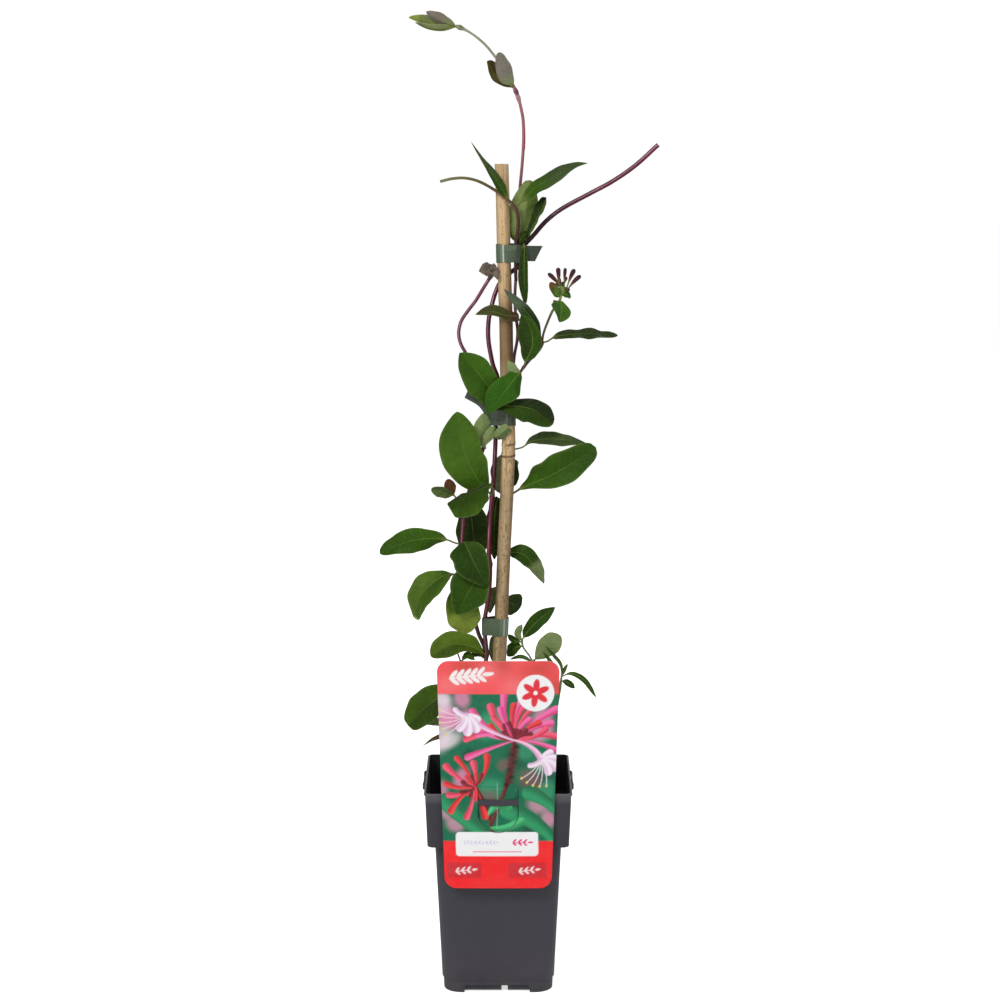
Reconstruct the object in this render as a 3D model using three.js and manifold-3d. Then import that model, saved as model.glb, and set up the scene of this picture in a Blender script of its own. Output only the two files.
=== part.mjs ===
// A young honeysuckle vine, tied to a bamboo cane in a square nursery pot, with a hanging picture card.
// Millimetres, +Z up. The origin is the middle of the pot's base, on the surface that it stands on.
// The pot's card side faces -Y.
import * as THREE from 'three';
import { mergeVertices } from 'three/addons/utils/BufferGeometryUtils.js';
import Module from 'manifold-3d';

const wasm = await Module();
wasm.setup();

// ---------- driving dimensions ----------
const TOUCH_GAP = 0.3;            // room between two pieces that touch

const POT_HEIGHT = 190;
const RIM_HALF = 65;              // half of the rim's outer width
const COLLAR_FOOT_HALF = 63;      // the collar at its lower edge
const COLLAR_FOOT_Z = 140;
const NECK_HALF = 56.5;           // the body just under the collar
const BASE_HALF = 49.5;
const BASE_STEP_Z = 11;           // a small moulded step above the base
const POT_WALL = 1.3;
const FLOOR_UNDERSIDE = 7.2;
const FLOOR_TOP = 8.7;
const FOOT_NOTCH = [54, 6.5];     // width and height of the opening between two feet
const HUB_RADIUS = 7;             // the round foot in the middle of the base
const DRAIN_RADIUS = 4;
const STRAP = { half: 20.5, low: 179.7, high: 185.2, thick: 1.5, stand: 1.7, end: 2.5 };

const SOIL_TOP = 154;
const HOLE_BOTTOM = 118;          // how deep the stems stand in the soil

const CANE_RADIUS = 6.1;
const CANE_BOTTOM = 12;
const CANE_TOP = 740;
const CANE_LEAN = [[-7, 12], [-3, 155], [1.3, 300], [3, 340], [5.3, 400], [7.8, 450], [9.3, 495],
  [7.5, 560], [6.9, 600], [5, 660], [4, 710], [3, 740]];   // the cane's middle, x at a height z
const CANE_JOINTS = [216, 488];   // heights of the cane's swollen rings

const TAPE_THICK = 0.7;
const TIE_LOW = [319.5, 335];
const TIE_MIDDLE = [510, 524];
const TIE_TOP = [654, 670];

const CARD = {
  front: -68.9, thick: 0.6, low: 104.6, high: 311.3, halfLow: 47.3, halfHigh: 54, corner: 10.5,
};
const TONGUE = { half: 17.6, hinge: 197.5, low: 156, behind: -65.5, slot: 0.5 };

const BLADE_THICK = 0.8;
const PETIOLE_HALF = 0.8;
const WIDE_LEAF = 18;             // from this width on a blade has four strips across, and two below it
const TUBE_STEP = 14;             // length of one straight stretch of a stem
const LEAF_STEP = 11.5;           // length of one row of a blade's faces

const COLOUR = {
  pot: 0x46474c, soil: 0x3a2d24, cane: 0xc4a57c, tape: 0x5d7362, card: 0xd9515a,
  leaf: 0x3f6b22, youngLeaf: 0x6f8a3c, darkLeaf: 0x34561f, bud: 0x5b2a40,
};

// ---------- solids ----------
const vec = (point) => new THREE.Vector3(...point);
const smooth = (points) => new THREE.CatmullRomCurve3(points.map(vec), false, 'centripetal');

function solidOf(geometry) {
  const bare = geometry.clone();
  bare.deleteAttribute('normal');
  bare.deleteAttribute('uv');
  const merged = mergeVertices(bare, 1e-4);
  return new wasm.Manifold(new wasm.Mesh({
    numProp: 3,
    vertProperties: Float32Array.from(merged.attributes.position.array),
    triVerts: Uint32Array.from(merged.index.array),
  }));
}

function geometryOf(solid) {
  const mesh = solid.getMesh();
  const geometry = new THREE.BufferGeometry();
  geometry.setAttribute('position', new THREE.BufferAttribute(Float32Array.from(mesh.vertProperties), 3));
  geometry.setIndex(Array.from(mesh.triVerts));
  geometry.computeVertexNormals();
  return geometry;
}

const joined = (solids) => solids.reduce((whole, next) => whole.add(next));

// Skin over a row of rings, which all have the same number of points, with both ends closed.
// turnedHalf says from which point of the ring on the quads are split along their other diagonal.
function loft(rings, turnedHalf = Infinity) {
  const count = rings[0].length;
  const index = [];
  for (let i = 0; i + 1 < rings.length; i += 1) {
    for (let k = 0; k < count; k += 1) {
      const a = i * count + k;
      const b = i * count + (k + 1) % count;
      const c = b + count;
      const d = a + count;
      index.push(...(k < turnedHalf ? [a, b, c, a, c, d] : [a, b, d, b, c, d]));
    }
  }
  const last = (rings.length - 1) * count;
  for (let k = 0; k < count / 2 - 1; k += 1) {
    const far = count - 1 - k;
    index.push(k, far, k + 1, k + 1, far, far - 1);
    index.push(last + k, last + k + 1, last + far, last + k + 1, last + far - 1, last + far);
  }
  const geometry = new THREE.BufferGeometry();
  geometry.setAttribute('position', new THREE.Float32BufferAttribute(rings.flat(2), 3));
  geometry.setIndex(index);
  return solidOf(geometry);
}

const tubeSteps = (line) => Math.max(3, Math.round(line.getLength() / TUBE_STEP));

function tube(points, diameter, sides = 6) {
  const line = smooth(points);
  const section = new THREE.Shape();
  for (let k = 0; k < sides; k += 1) {
    const angle = (2 * Math.PI * k) / sides;
    const [x, y] = [Math.cos(angle) * diameter / 2, Math.sin(angle) * diameter / 2];
    if (k === 0) section.moveTo(x, y);
    else section.lineTo(x, y);
  }
  section.closePath();
  const steps = tubeSteps(line);
  return solidOf(new THREE.ExtrudeGeometry(section, { steps, bevelEnabled: false, extrudePath: line }));
}

function upright(radius, low, high, x, y, sides = 12) {
  const geometry = new THREE.CylinderGeometry(radius, radius, high - low, sides);
  geometry.rotateX(Math.PI / 2);
  geometry.translate(x, y, (low + high) / 2);
  return solidOf(geometry);
}

function block(width, depth, height, x, y, z, turn = 0) {
  const geometry = new THREE.BoxGeometry(width, depth, height);
  geometry.translate(x, y, z);
  geometry.rotateZ(turn);
  return solidOf(geometry);
}

// A flat strip along a path: its height lies along one fixed direction.
function ribbon(points, heightDirection, height, thick) {
  const line = smooth(points);
  const rise = vec(heightDirection).normalize();
  const rings = [];
  for (let i = 0; i <= 6; i += 1) {
    const middle = line.getPointAt(i / 6);
    const out = new THREE.Vector3().crossVectors(line.getTangentAt(i / 6), rise).normalize();
    rings.push([[-1, -1], [1, -1], [1, 1], [-1, 1]].map(([up, side]) => middle.clone()
      .addScaledVector(rise, up * height / 2).addScaledVector(out, side * thick / 2).toArray()));
  }
  return loft(rings);
}

// A leaf blade on its stalk. The midrib runs along the path from the stem to the tip, face is the side
// that the upper surface looks to, fold raises the margins into a trough, wave lifts and lowers them,
// and twist turns the blade about its midrib from base to tip. Half-width follows sin(pi * u^belly)^blunt,
// so a larger belly moves the widest place towards the tip and a smaller blunt rounds both ends.
function leaf(path, width, face, options = {}) {
  const { stalk = 0.08, fold = 0.25, wave = 0, waves = 2, twist = 0, belly = 1, blunt = 0.6 } = options;
  const line = smooth(path);
  const span = vec(path[path.length - 1]).sub(vec(path[0]));
  const level = new THREE.Vector3().crossVectors(span, vec(face)).normalize();
  const strips = width >= WIDE_LEAF ? 4 : 2;
  const { rows = Math.min(9, Math.max(5, Math.round(line.getLength() / LEAF_STEP))) } = options;
  const rings = [];
  for (let i = 0; i <= rows; i += 1) {
    const t = i / rows + 0.12 * Math.sin(Math.PI * i / rows);
    const middle = line.getPointAt(Math.min(t, 1));
    const along = line.getTangentAt(Math.min(t, 1));
    const across = level.clone().addScaledVector(along, -level.dot(along)).normalize();
    across.applyAxisAngle(along, twist * t);
    const normal = new THREE.Vector3().crossVectors(across, along);
    const u = Math.max(0, (t - stalk) / (1 - stalk));
    const swell = Math.max(0, Math.sin(Math.PI * Math.min(u, 1) ** belly));
    const half = Math.max(t < 0.5 ? PETIOLE_HALF : 0.45, width / 2 * swell ** blunt);
    const thick = t < stalk ? 1.4 : BLADE_THICK;
    const lift = wave * Math.sin(2 * Math.PI * waves * u) * Math.sin(Math.PI * u);
    const upper = [];
    const lower = [];
    for (let j = 0; j <= strips; j += 1) {
      const s = -1 + 2 * j / strips;
      const point = middle.clone().addScaledVector(across, s * half)
        .addScaledVector(normal, fold * Math.abs(s) * half + lift * s * s * Math.sign(s || 1));
      upper.push(point.clone().addScaledVector(normal, thick / 2).toArray());
      lower.unshift(point.clone().addScaledVector(normal, -thick / 2).toArray());
    }
    rings.push([...upper, ...lower]);
  }
  return loft(rings, strips + 1);
}

// ---------- pot, soil ----------
function squareRing(z, half, corner) {
  const ring = [];
  for (let quarter = 0; quarter < 4; quarter += 1) {
    for (let k = 0; k <= 3; k += 1) {
      const angle = (quarter + k / 3) * Math.PI / 2;
      const turn = quarter * Math.PI / 2 + Math.PI / 4;
      const centre = (half - corner) * Math.SQRT2;
      ring.push([centre * Math.cos(turn) + corner * Math.cos(angle),
        centre * Math.sin(turn) + corner * Math.sin(angle), z]);
    }
  }
  return ring;
}

const bodyHalf = (z) => BASE_HALF + 1
  + (NECK_HALF - BASE_HALF - 1) * (z - BASE_STEP_Z) / (COLLAR_FOOT_Z - BASE_STEP_Z);
const bodyCorner = (z) => 16 - 7 * z / COLLAR_FOOT_Z;
const collarHalf = (z) => COLLAR_FOOT_HALF
  + (RIM_HALF - COLLAR_FOOT_HALF) * (z - COLLAR_FOOT_Z) / (POT_HEIGHT - COLLAR_FOOT_Z);

function potSolid() {
  const ledge = COLLAR_FOOT_Z + POT_WALL;
  const inner = (half) => half - POT_WALL;
  let pot = loft([
    squareRing(0, BASE_HALF - 0.6, 16), squareRing(BASE_STEP_Z, BASE_HALF, 16),
    squareRing(BASE_STEP_Z + 1.2, bodyHalf(BASE_STEP_Z), 15.5),
    squareRing(COLLAR_FOOT_Z, NECK_HALF, 9), squareRing(COLLAR_FOOT_Z, COLLAR_FOOT_HALF, 5),
    squareRing(POT_HEIGHT - 1, RIM_HALF, 5), squareRing(POT_HEIGHT, RIM_HALF - 0.4, 4.6),
    squareRing(POT_HEIGHT, inner(RIM_HALF), 3.8), squareRing(ledge, inner(COLLAR_FOOT_HALF), 3.8),
    squareRing(ledge, inner(NECK_HALF), 7.8), squareRing(FLOOR_TOP, inner(BASE_HALF), 14),
  ]);
  pot = pot.subtract(loft([
    squareRing(-1, BASE_HALF - 2.4, 13.6), squareRing(FLOOR_UNDERSIDE, BASE_HALF - 2, 13.6),
  ]));
  for (const turn of [Math.PI / 4, -Math.PI / 4]) {
    pot = pot.add(block(123, 1.5, FLOOR_UNDERSIDE - 1.6, 0, 0, FLOOR_UNDERSIDE / 2 + 0.9, turn));
  }
  pot = pot.add(upright(HUB_RADIUS, 0, FLOOR_UNDERSIDE + 0.3, 0, 0, 20));
  for (let side = 0; side < 4; side += 1) {
    const turn = side * Math.PI / 2;
    const strapMiddle = -(collarHalf(STRAP.high) + STRAP.stand + STRAP.thick / 2);
    const strapZ = (STRAP.low + STRAP.high) / 2;
    const strapTall = STRAP.high - STRAP.low;
    const [notchWide, notchTall] = FOOT_NOTCH;
    pot = pot.subtract(block(notchWide, 12, notchTall + 1, 0, -BASE_HALF, (notchTall - 1) / 2, turn));
    const strapWide = 2 * (STRAP.half + STRAP.end);
    pot = pot.add(block(strapWide, STRAP.thick, strapTall, 0, strapMiddle, strapZ, turn));
    for (const end of [-1, 1]) {
      pot = pot.add(block(STRAP.end, STRAP.stand + 1.6, strapTall, end * (STRAP.half + STRAP.end / 2),
        strapMiddle + STRAP.stand / 2 + 0.4, strapZ, turn));
    }
    const drain = upright(DRAIN_RADIUS, 0, FLOOR_TOP + 1, 0, 0);
    pot = pot.subtract(drain.translate([26 * Math.cos(turn), 26 * Math.sin(turn), 0]));
  }
  return pot;
}

function soilSolid(stems) {
  const inset = POT_WALL + TOUCH_GAP;
  const ledge = COLLAR_FOOT_Z + inset;
  let soil = loft([
    squareRing(FLOOR_TOP + TOUCH_GAP, BASE_HALF - inset - 0.2, 13.6),
    squareRing(COLLAR_FOOT_Z - 2, bodyHalf(COLLAR_FOOT_Z - 2) - inset - 0.2, 7.6),
    squareRing(ledge, NECK_HALF - inset - 0.2, 7.4),
    squareRing(ledge, COLLAR_FOOT_HALF - inset - 0.2, 3.4),
    squareRing(SOIL_TOP, collarHalf(SOIL_TOP) - inset - 0.2, 3.4),
    squareRing(SOIL_TOP + 1.6, 46, 14), squareRing(SOIL_TOP + 2.6, 24, 10),
    squareRing(SOIL_TOP + 3, 8, 6),
  ]);
  soil = soil.subtract(caneSolid(TOUCH_GAP));
  for (const { path, diameter } of stems) {
    const [x, y] = path[0];
    const hole = upright(diameter / 2 + TOUCH_GAP, HOLE_BOTTOM - TOUCH_GAP, SOIL_TOP + 9, x, y, 10);
    soil = soil.subtract(hole);
  }
  return soil;
}

// ---------- cane ----------
function caneX(z) {
  const next = CANE_LEAN.findIndex(([, height]) => height >= z);
  if (next <= 0) return CANE_LEAN[0][0];
  const [[x0, z0], [x1, z1]] = [CANE_LEAN[next - 1], CANE_LEAN[next]];
  return x0 + (x1 - x0) * (z - z0) / (z1 - z0);
}

// A turned rod with a swollen ring at each joint, then leaned so that its middle follows the cane's line.
function caneSolid(room = 0) {
  const profile = [new THREE.Vector2(0, CANE_BOTTOM - room)];
  const level = (z, swell = 0) => profile.push(new THREE.Vector2(CANE_RADIUS + room + swell, z));
  level(CANE_BOTTOM - room);
  const bends = CANE_LEAN.slice(1, -1).map(([, z]) => ({ z, swell: 0 }));
  const rings = CANE_JOINTS.flatMap((z) => [
    { z: z - 5, swell: 0 }, { z, swell: 0.6 }, { z: z + 2.5, swell: 0 },
  ]);
  [...bends, ...rings].sort((a, b) => a.z - b.z).forEach(({ z, swell }) => level(z, swell));
  level(CANE_TOP);
  profile.push(new THREE.Vector2(0, CANE_TOP));
  const geometry = new THREE.LatheGeometry(profile, 12);
  geometry.rotateX(Math.PI / 2);
  const place = geometry.attributes.position;
  for (let i = 0; i < place.count; i += 1) {
    place.setX(i, place.getX(i) + caneX(place.getZ(i)));
  }
  return solidOf(geometry);
}

// ---------- ties ----------
// Band of tape pulled tight round the cane and the stems that it holds: the outline of all their round
// sections between its two edges, with a little room.
function tieRing([low, high], stems) {
  const held = [];
  for (const { path, diameter } of stems) {
    const line = smooth(path);
    const bends = line.getSpacedPoints(tubeSteps(line));
    for (let i = 1; i < bends.length; i += 1) {
      const [from, to] = [bends[i - 1], bends[i]];
      const slant = from.distanceTo(to) / Math.max(1, Math.abs(to.z - from.z));
      const reach = diameter / 2 * Math.min(2, slant);
      for (let share = 0; share <= 1; share += 0.125) {
        const point = from.clone().lerp(to, share);
        if (point.z > low - 1 && point.z < high + 1) held.push([point.x, point.y, reach]);
      }
    }
  }
  for (let z = low; z <= high; z += 3) held.push([caneX(z), 0, CANE_RADIUS]);
  const outline = (room) => Array.from({ length: 28 }, (_, k) => {
    const angle = (2 * Math.PI * k) / 28;
    const [dx, dy] = [Math.cos(angle), Math.sin(angle)];
    const outwards = ([x, y, r]) => x * dx + y * dy + r;
    const [x, y, r] = held.reduce((best, next) => (outwards(next) > outwards(best) ? next : best));
    return new THREE.Vector2(x + (r + room) * dx, y + (r + room) * dy);
  });
  const band = new THREE.Shape(outline(TOUCH_GAP + 0.1 + TAPE_THICK));
  band.holes.push(new THREE.Path(outline(TOUCH_GAP + 0.1)));
  const geometry = new THREE.ExtrudeGeometry(band, { depth: high - low, bevelEnabled: false });
  geometry.translate(0, 0, low);
  return solidOf(geometry);
}

// ---------- card ----------
function cardSolid() {
  const { front, thick, low, high, halfLow, halfHigh, corner } = CARD;
  const sheet = new THREE.Shape();
  sheet.moveTo(-halfLow + corner, low);
  sheet.lineTo(halfLow - corner, low);
  sheet.quadraticCurveTo(halfLow, low, halfLow + 0.3, low + corner);
  sheet.lineTo(halfHigh - 0.3, high - corner);
  sheet.quadraticCurveTo(halfHigh, high, halfHigh - corner, high);
  sheet.lineTo(-halfHigh + corner, high);
  sheet.quadraticCurveTo(-halfHigh, high, -halfHigh + 0.3, high - corner);
  sheet.lineTo(-halfLow - 0.3, low + corner);
  sheet.quadraticCurveTo(-halfLow, low, -halfLow + corner, low);
  const cut = TONGUE.half + TONGUE.slot;
  const window = new THREE.Path();
  window.moveTo(cut, TONGUE.hinge);
  window.lineTo(cut, TONGUE.low + cut - TONGUE.slot);
  window.absarc(0, TONGUE.low + cut - TONGUE.slot, cut, 0, -Math.PI, true);
  window.lineTo(-cut, TONGUE.hinge);
  window.closePath();
  sheet.holes.push(window);
  const flat = { depth: thick, bevelEnabled: false, curveSegments: 6 };
  const geometry = new THREE.ExtrudeGeometry(sheet, flat);
  geometry.rotateX(Math.PI / 2);
  geometry.translate(0, front + thick, 0);
  // The tongue hangs from its hinge, slopes back over the strap and lies between strap and wall.
  const slopeEnd = STRAP.high + 0.8;
  const rings = [];
  const levels = [TONGUE.hinge + 0.6, TONGUE.hinge - 0.5, 193, 189.5, slopeEnd];
  for (const z of [...levels, 180, 174, 169, 164, 160, 157.5, TONGUE.low]) {
    const back = THREE.MathUtils.smoothstep(TONGUE.hinge - z, 0, TONGUE.hinge - slopeEnd);
    const y = front + (TONGUE.behind - thick - front) * back;
    const drop = Math.max(0, TONGUE.low + TONGUE.half - z) / TONGUE.half;
    const half = TONGUE.half * Math.sqrt(Math.max(0.03, 1 - drop * drop));
    rings.push([[-half, y, z], [-half, y + thick, z], [half, y + thick, z], [half, y, z]]);
  }
  return solidOf(geometry).add(loft(rings));
}

// ---------- vine ----------
const STEM_MAIN = {
  diameter: 4,
  path: [[-12, -2, HOLE_BOTTOM], [-12, -2, 150], [-12, -2, 168], [-12, -2, 230], [-11.8, -1.5, 290],
    [-10.5, -1, 302], [-11.2, -1, 312], [-11.9, -1, 320], [-11.9, -1, 335], [-10.6, 0, 343],
    [-9, 1, 352],
    [-7.6, 1, 366], [-7.2, 1, 380], [-8.4, 1, 396], [-8, 1, 412], [-7, 1, 430], [-5.4, 2, 446],
    [-4, 3, 464],
    [-2.8, 3.8, 484], [-2.2, 4, 500], [-2, 4, 509], [-1.7, 4, 526], [-0.4, 6, 539], [-0.4, 8, 551],
    [-4.4, 6, 562], [-6.8, 4, 573], [-8.4, 3, 583], [-8.9, 3, 593], [-8, 3, 605], [-5.4, 4, 617],
    [-2.4, 7, 627], [2, 8.8, 636], [8, 9, 642], [13, 8.6, 646], [18, 6.6, 650], [19.4, 3.6, 656],
    [19.7, 1, 664], [20.6, 0, 670], [23.8, 0, 674.4], [30.8, 0, 678.6], [40.6, 0, 688.6],
    [50.6, 0, 697.2], [60.6, 1, 703.6],
    [80, 2, 713.8], [100, 3, 724.4], [120, 3, 738.4], [139.6, 3, 756]],
};
const STEM_LEFT = {
  diameter: 3.7,
  path: [[-11, 4.5, HOLE_BOTTOM], [-11, 4.5, 150], [-11, 4.5, 168], [-11, 4.3, 230], [-10.8, 4.2, 292],
    [-12.6, 3.4, 307], [-17.4, 2, 319], [-20.6, 0.8, 330], [-25, 0, 344], [-30, 0, 362],
    [-32.2, 0, 385],
    [-32.3, 0, 404], [-31.2, 0.3, 422], [-27, 1, 446], [-20, 1.4, 470], [-13, 1.6, 490],
    [-9.4, 1.5, 506],
    [-9, 1.5, 526]],
};
const STEM_LEFT_THIN = {
  diameter: 3.1,
  path: [[-9, 1.5, 520], [-9.4, 1.6, 530], [-14, 2, 545], [-22, 2, 562], [-28.8, 1.5, 574],
    [-33.4, 1, 583],
    [-34.8, 0.5, 592], [-32.6, 0.3, 602], [-26.4, 0.6, 611.6], [-20, 1, 620], [-13.8, 1, 630],
    [-9.4, 1.6, 637],
    [-6, 3.4, 642], [-2.6, 7.6, 645], [1, 8.4, 646.5]],
};
const SHOOT_TOP = {
  diameter: 2.7,
  path: [[-3.4, 9, HOLE_BOTTOM], [-3.4, 9, 150], [-3.4, 9, 168], [-1, 8.8, 230], [1, 8.4, 292],
    [2.4, 8.2, 320],
    [2.7, 8.2, 336], [4, 9, 370], [5.4, 9, 400], [7.5, 9, 440], [9.6, 9, 480], [10.4, 8.3, 510],
    [10.5, 8.3, 526], [11.6, 8.3, 545], [13, 6.6, 558], [14.6, 5, 573], [16.6, 3.6, 584], [17.2, 3, 593],
    [16, 2.5, 604], [14.8, 2.2, 616], [14.8, 2.2, 628], [15.5, 2.4, 640], [15.8, 3.2, 652],
    [15.8, 3.4, 672], [17.4, 6, 690], [19, 7, 717], [20.8, 6, 737], [22.2, 4, 757]],
};
const SHOOT_TIP = {
  diameter: 2.2,
  path: [[22, 4.4, 752], [22.3, 3, 764], [21.4, 1, 780], [17.2, -1, 797], [13, -2, 807], [5, -3, 821.2],
    [-3, -4, 832], [-11, -4, 841.4], [-20.8, -4, 849.6], [-30, -4, 855], [-37, -4, 857.6]],
};
const SHOOT_CUT = {
  diameter: 3,
  path: [[15.6, 2.2, 638], [15.2, -1.6, 648], [15.3, -3, 655], [15.5, -3.4, 670], [17, -4, 680],
    [17.5, -5, 690], [16, -6.6, 699], [12, -8.4, 705.4], [6, -9.8, 711], [-1, -10, 716],
    [-11, -9, 722], [-20, -8, 725.8], [-30, -7, 727.6], [-40, -6, 727], [-50.5, -5, 724.6]],
};
const SHOOT_FLOWER = {
  diameter: 2.4,
  path: [[13.7, 5.5, 555.6], [16.4, 1.6, 555.6], [19, -2, 556.8], [22.5, -4, 562], [28, -5, 568.4],
    [34, -6, 574.6], [38, -6, 580.4], [39.2, -6, 585.4]],
};
const FLOWER_STALK = {
  diameter: 1.9,
  path: [[38.6, -6, 582], [39.6, -6.4, 591], [43, -7, 601], [48, -8, 612.4], [51.6, -8.6, 617.4],
    [54.2, -9.2, 622], [55.4, -9.5, 629.6]],
};
const SHOOT_LOW_LEFT = {
  diameter: 2.2,
  path: [[-24, -13, HOLE_BOTTOM], [-24, -13, 150], [-24, -13, 168], [-27, -12, 200], [-31, -11, 235],
    [-33.4, -10, 268], [-33.2, -9, 298]],
};
const DRY_TWIG = { diameter: 1.5, path: [[-33.2, -9, 294], [-36, -9, 303], [-40.4, -9, 312.6]] };
const SHOOT_LOW_RIGHT = {
  diameter: 2.2,
  path: [[26, 0, HOLE_BOTTOM], [26, 0, 150], [26, 0, 168], [29, 2, 200], [31, 3, 250], [32, 4, 286],
    [32.2, 4, 295.4]],
};
const TWIG_LOW_RIGHT = { diameter: 1.7, path: [[32.2, 4, 291], [28, 5, 299], [22.4, 6, 307],
  [21.4, 6.5, 314.5]] };
const SHOOT_NARROW = {
  diameter: 1.8,
  path: [[40, -8, HOLE_BOTTOM], [40, -8, 150], [40, -8, 168], [44, -7, 200], [51, -5, 240],
    [55.6, -4, 268],
    [57.2, -4, 283]],
};
const ROOTED = [STEM_MAIN, STEM_LEFT, SHOOT_TOP, SHOOT_LOW_LEFT, SHOOT_LOW_RIGHT, SHOOT_NARROW];

const stalkOf = ({ path, diameter }) => tube(path, diameter);

const FRONT = [0, -1, 0.25];
const UP_FRONT = [0, -0.8, 0.6];
const UP = [0, -0.2, 1];
const BACK = [0, 1, 0.15];
const SLIM = { belly: 0.75, blunt: 0.8 };

function stemMain() {
  const forkLow = [-7.4, 1, 384];
  const forkTop = [-5.4, 2, 446];
  const overTie = [-1.2, 5, 531.4];
  return joined([
    stalkOf(STEM_MAIN),
    leaf([[-12, -2, 228], [-14, -16, 238], [-12, -32, 240], [-8, -46, 232]], 22, [0, 0.2, 1],
      { wave: 1.5 }),
    leaf([[-12, -2, 228], [-20, 1, 234], [-30, 12, 237], [-40, 26, 230]], 22, UP, { wave: 1.5 }),
    leaf([[-11, -1, 300], [-20, -9, 309], [-40, -15, 314], [-60.6, -13, 302.6]],
      25, [-0.1, -0.95, 0.35],
      { belly: 1.2, blunt: 0.45 }),
    leaf([[-11.4, -1.4, 297], [-17, -5, 304], [-25, -5, 300.6]], 9, UP_FRONT),
    leaf([forkLow, [-13, -8, 380], [-25, -14, 364], [-37, -13, 341]], 36, [0.2, -1, 0.3]),
    leaf([forkTop, [-16, -8, 459], [-29.4, -16, 487], [-36.4, -14, 523.8]], 39.5, FRONT,
      { wave: 1, fold: 0.15, belly: 0.95, blunt: 0.55 }),
    leaf([forkTop, [-12, -9, 450], [-28, -19, 443], [-44.6, -21, 430.6]], 32, [0.15, -1, 0.4],
      { blunt: 0.5 }),
    leaf([[-2.1, 4, 502], [-3.4, -4, 503], [5, -9, 502.6], [13, -8.6, 505.6]], 7, [0, 1, 0]),
    leaf([overTie, [-4.4, -6, 538.6], [-18, -9, 558], [-34, -7, 575]], 31, [-0.2, -1, 0.2],
      { blunt: 0.5 }),
    leaf([overTie, [-2, -6, 531], [6, -12, 529], [28, -14, 526.4], [48.6, -11, 512.4]],
      25, [0.1, -0.9, 0.35],
      { belly: 1.2, blunt: 0.45, stalk: 0.16 }),
    leaf([[22.4, 0, 673], [28, -5, 680], [37.4, -6, 694], [44, -5, 709]], 19, [-0.7, -0.6, 0.3],
      { fold: 0.6, belly: 1.3, blunt: 0.45 }),
    leaf([[21.4, 0, 671.6], [22.8, -5.6, 675], [23.4, -9, 667], [22.8, -9.8, 645], [22.4, -8, 619.4]],
      10, [0, -1, 0.1],
      { fold: 0.5, stalk: 0.12, rows: 10 }),
  ]);
}

function stemLeft() {
  const forkHigh = [-32.3, 0, 402];
  const forkLow = [-31.2, 0, 372];
  const young = [-39, -2, 446.6];
  return joined([
    stalkOf(STEM_LEFT),
    stalkOf(STEM_LEFT_THIN),
    leaf([forkHigh, [-39, -2, 404], [-47, -3, 407.2], [-75, -8, 407.4], [-106, -4, 394.8]],
      22.5, [-0.1, -0.9, 0.4],
      { stalk: 0.2, wave: 1, belly: 1.15, blunt: 0.45 }),
    leaf([forkHigh, [-30, -9, 405], [-22, -18, 390], [-11, -18, 368]], 38, [0.1, -1, 0.2],
      { blunt: 0.5, wave: 1 }),
    leaf([forkLow, [-43, -5, 376], [-57, -10, 370], [-70, -11, 356], [-74, -6, 335]],
      28, [-0.35, -0.85, 0.4],
      { stalk: 0.18, blunt: 0.5 }),
    leaf([forkLow, [-32, -4, 360], [-31, -6, 342], [-27, -2.6, 321.4]], 32, [0, -0.98, 0.2],
      { blunt: 0.5 }),
    tube([[-29.6, 0.6, 432], [-34, -1, 440], young], 1.6),
    leaf([young, [-42, -3, 452], [-45, -4, 462]], 12, [0.2, -1, 0]),
    leaf([young, [-48, -5, 450], [-59.6, -6, 453.4]], 10.6, [0, -0.95, -0.3]),
    leaf([[-31.2, 0.3, 423], [-26, 8, 432], [-23, 12, 414], [-22, 10, 384]], 30, FRONT, { blunt: 0.5 }),
    leaf([[-32.2, 0, 386], [-31, 14, 388], [-29, 30, 386], [-27, 46, 376]], 20, UP, { wave: 1.5 }),
    leaf([[-20.4, 1.4, 469], [-24, 14, 478], [-31, 30, 480], [-36, 44, 471]], 22, UP, { wave: 1.5 }),
    leaf([[-10.6, 1.5, 498], [-14.6, -3, 503], [-15.6, -4, 517]], 14, BACK, { blunt: 0.45 }),
    leaf([[-10.4, 1.5, 501], [-10, -4, 502.6], [-12.4, -5, 488.6]], 10, BACK),
    leaf([[-6, 3.2, 641], [-7, -2, 648], [-14, -4, 644.6]], 12, [0, -0.9, 0.4], { wave: 2, waves: 2 }),
    leaf([[-6, 3.2, 641], [-5, -6, 644], [-3.6, -8.6, 653.6]], 10, [0.3, -0.9, 0.2],
      { wave: 1.5, waves: 2 }),
    leaf([[-6, 3.2, 641], [-5.6, -7, 645], [-3, -9.6, 646], [-0.6, -9.6, 639.4]], 6, [0, -0.9, 0.4],
      { wave: 1, waves: 2 }),
  ]);
}

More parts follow.
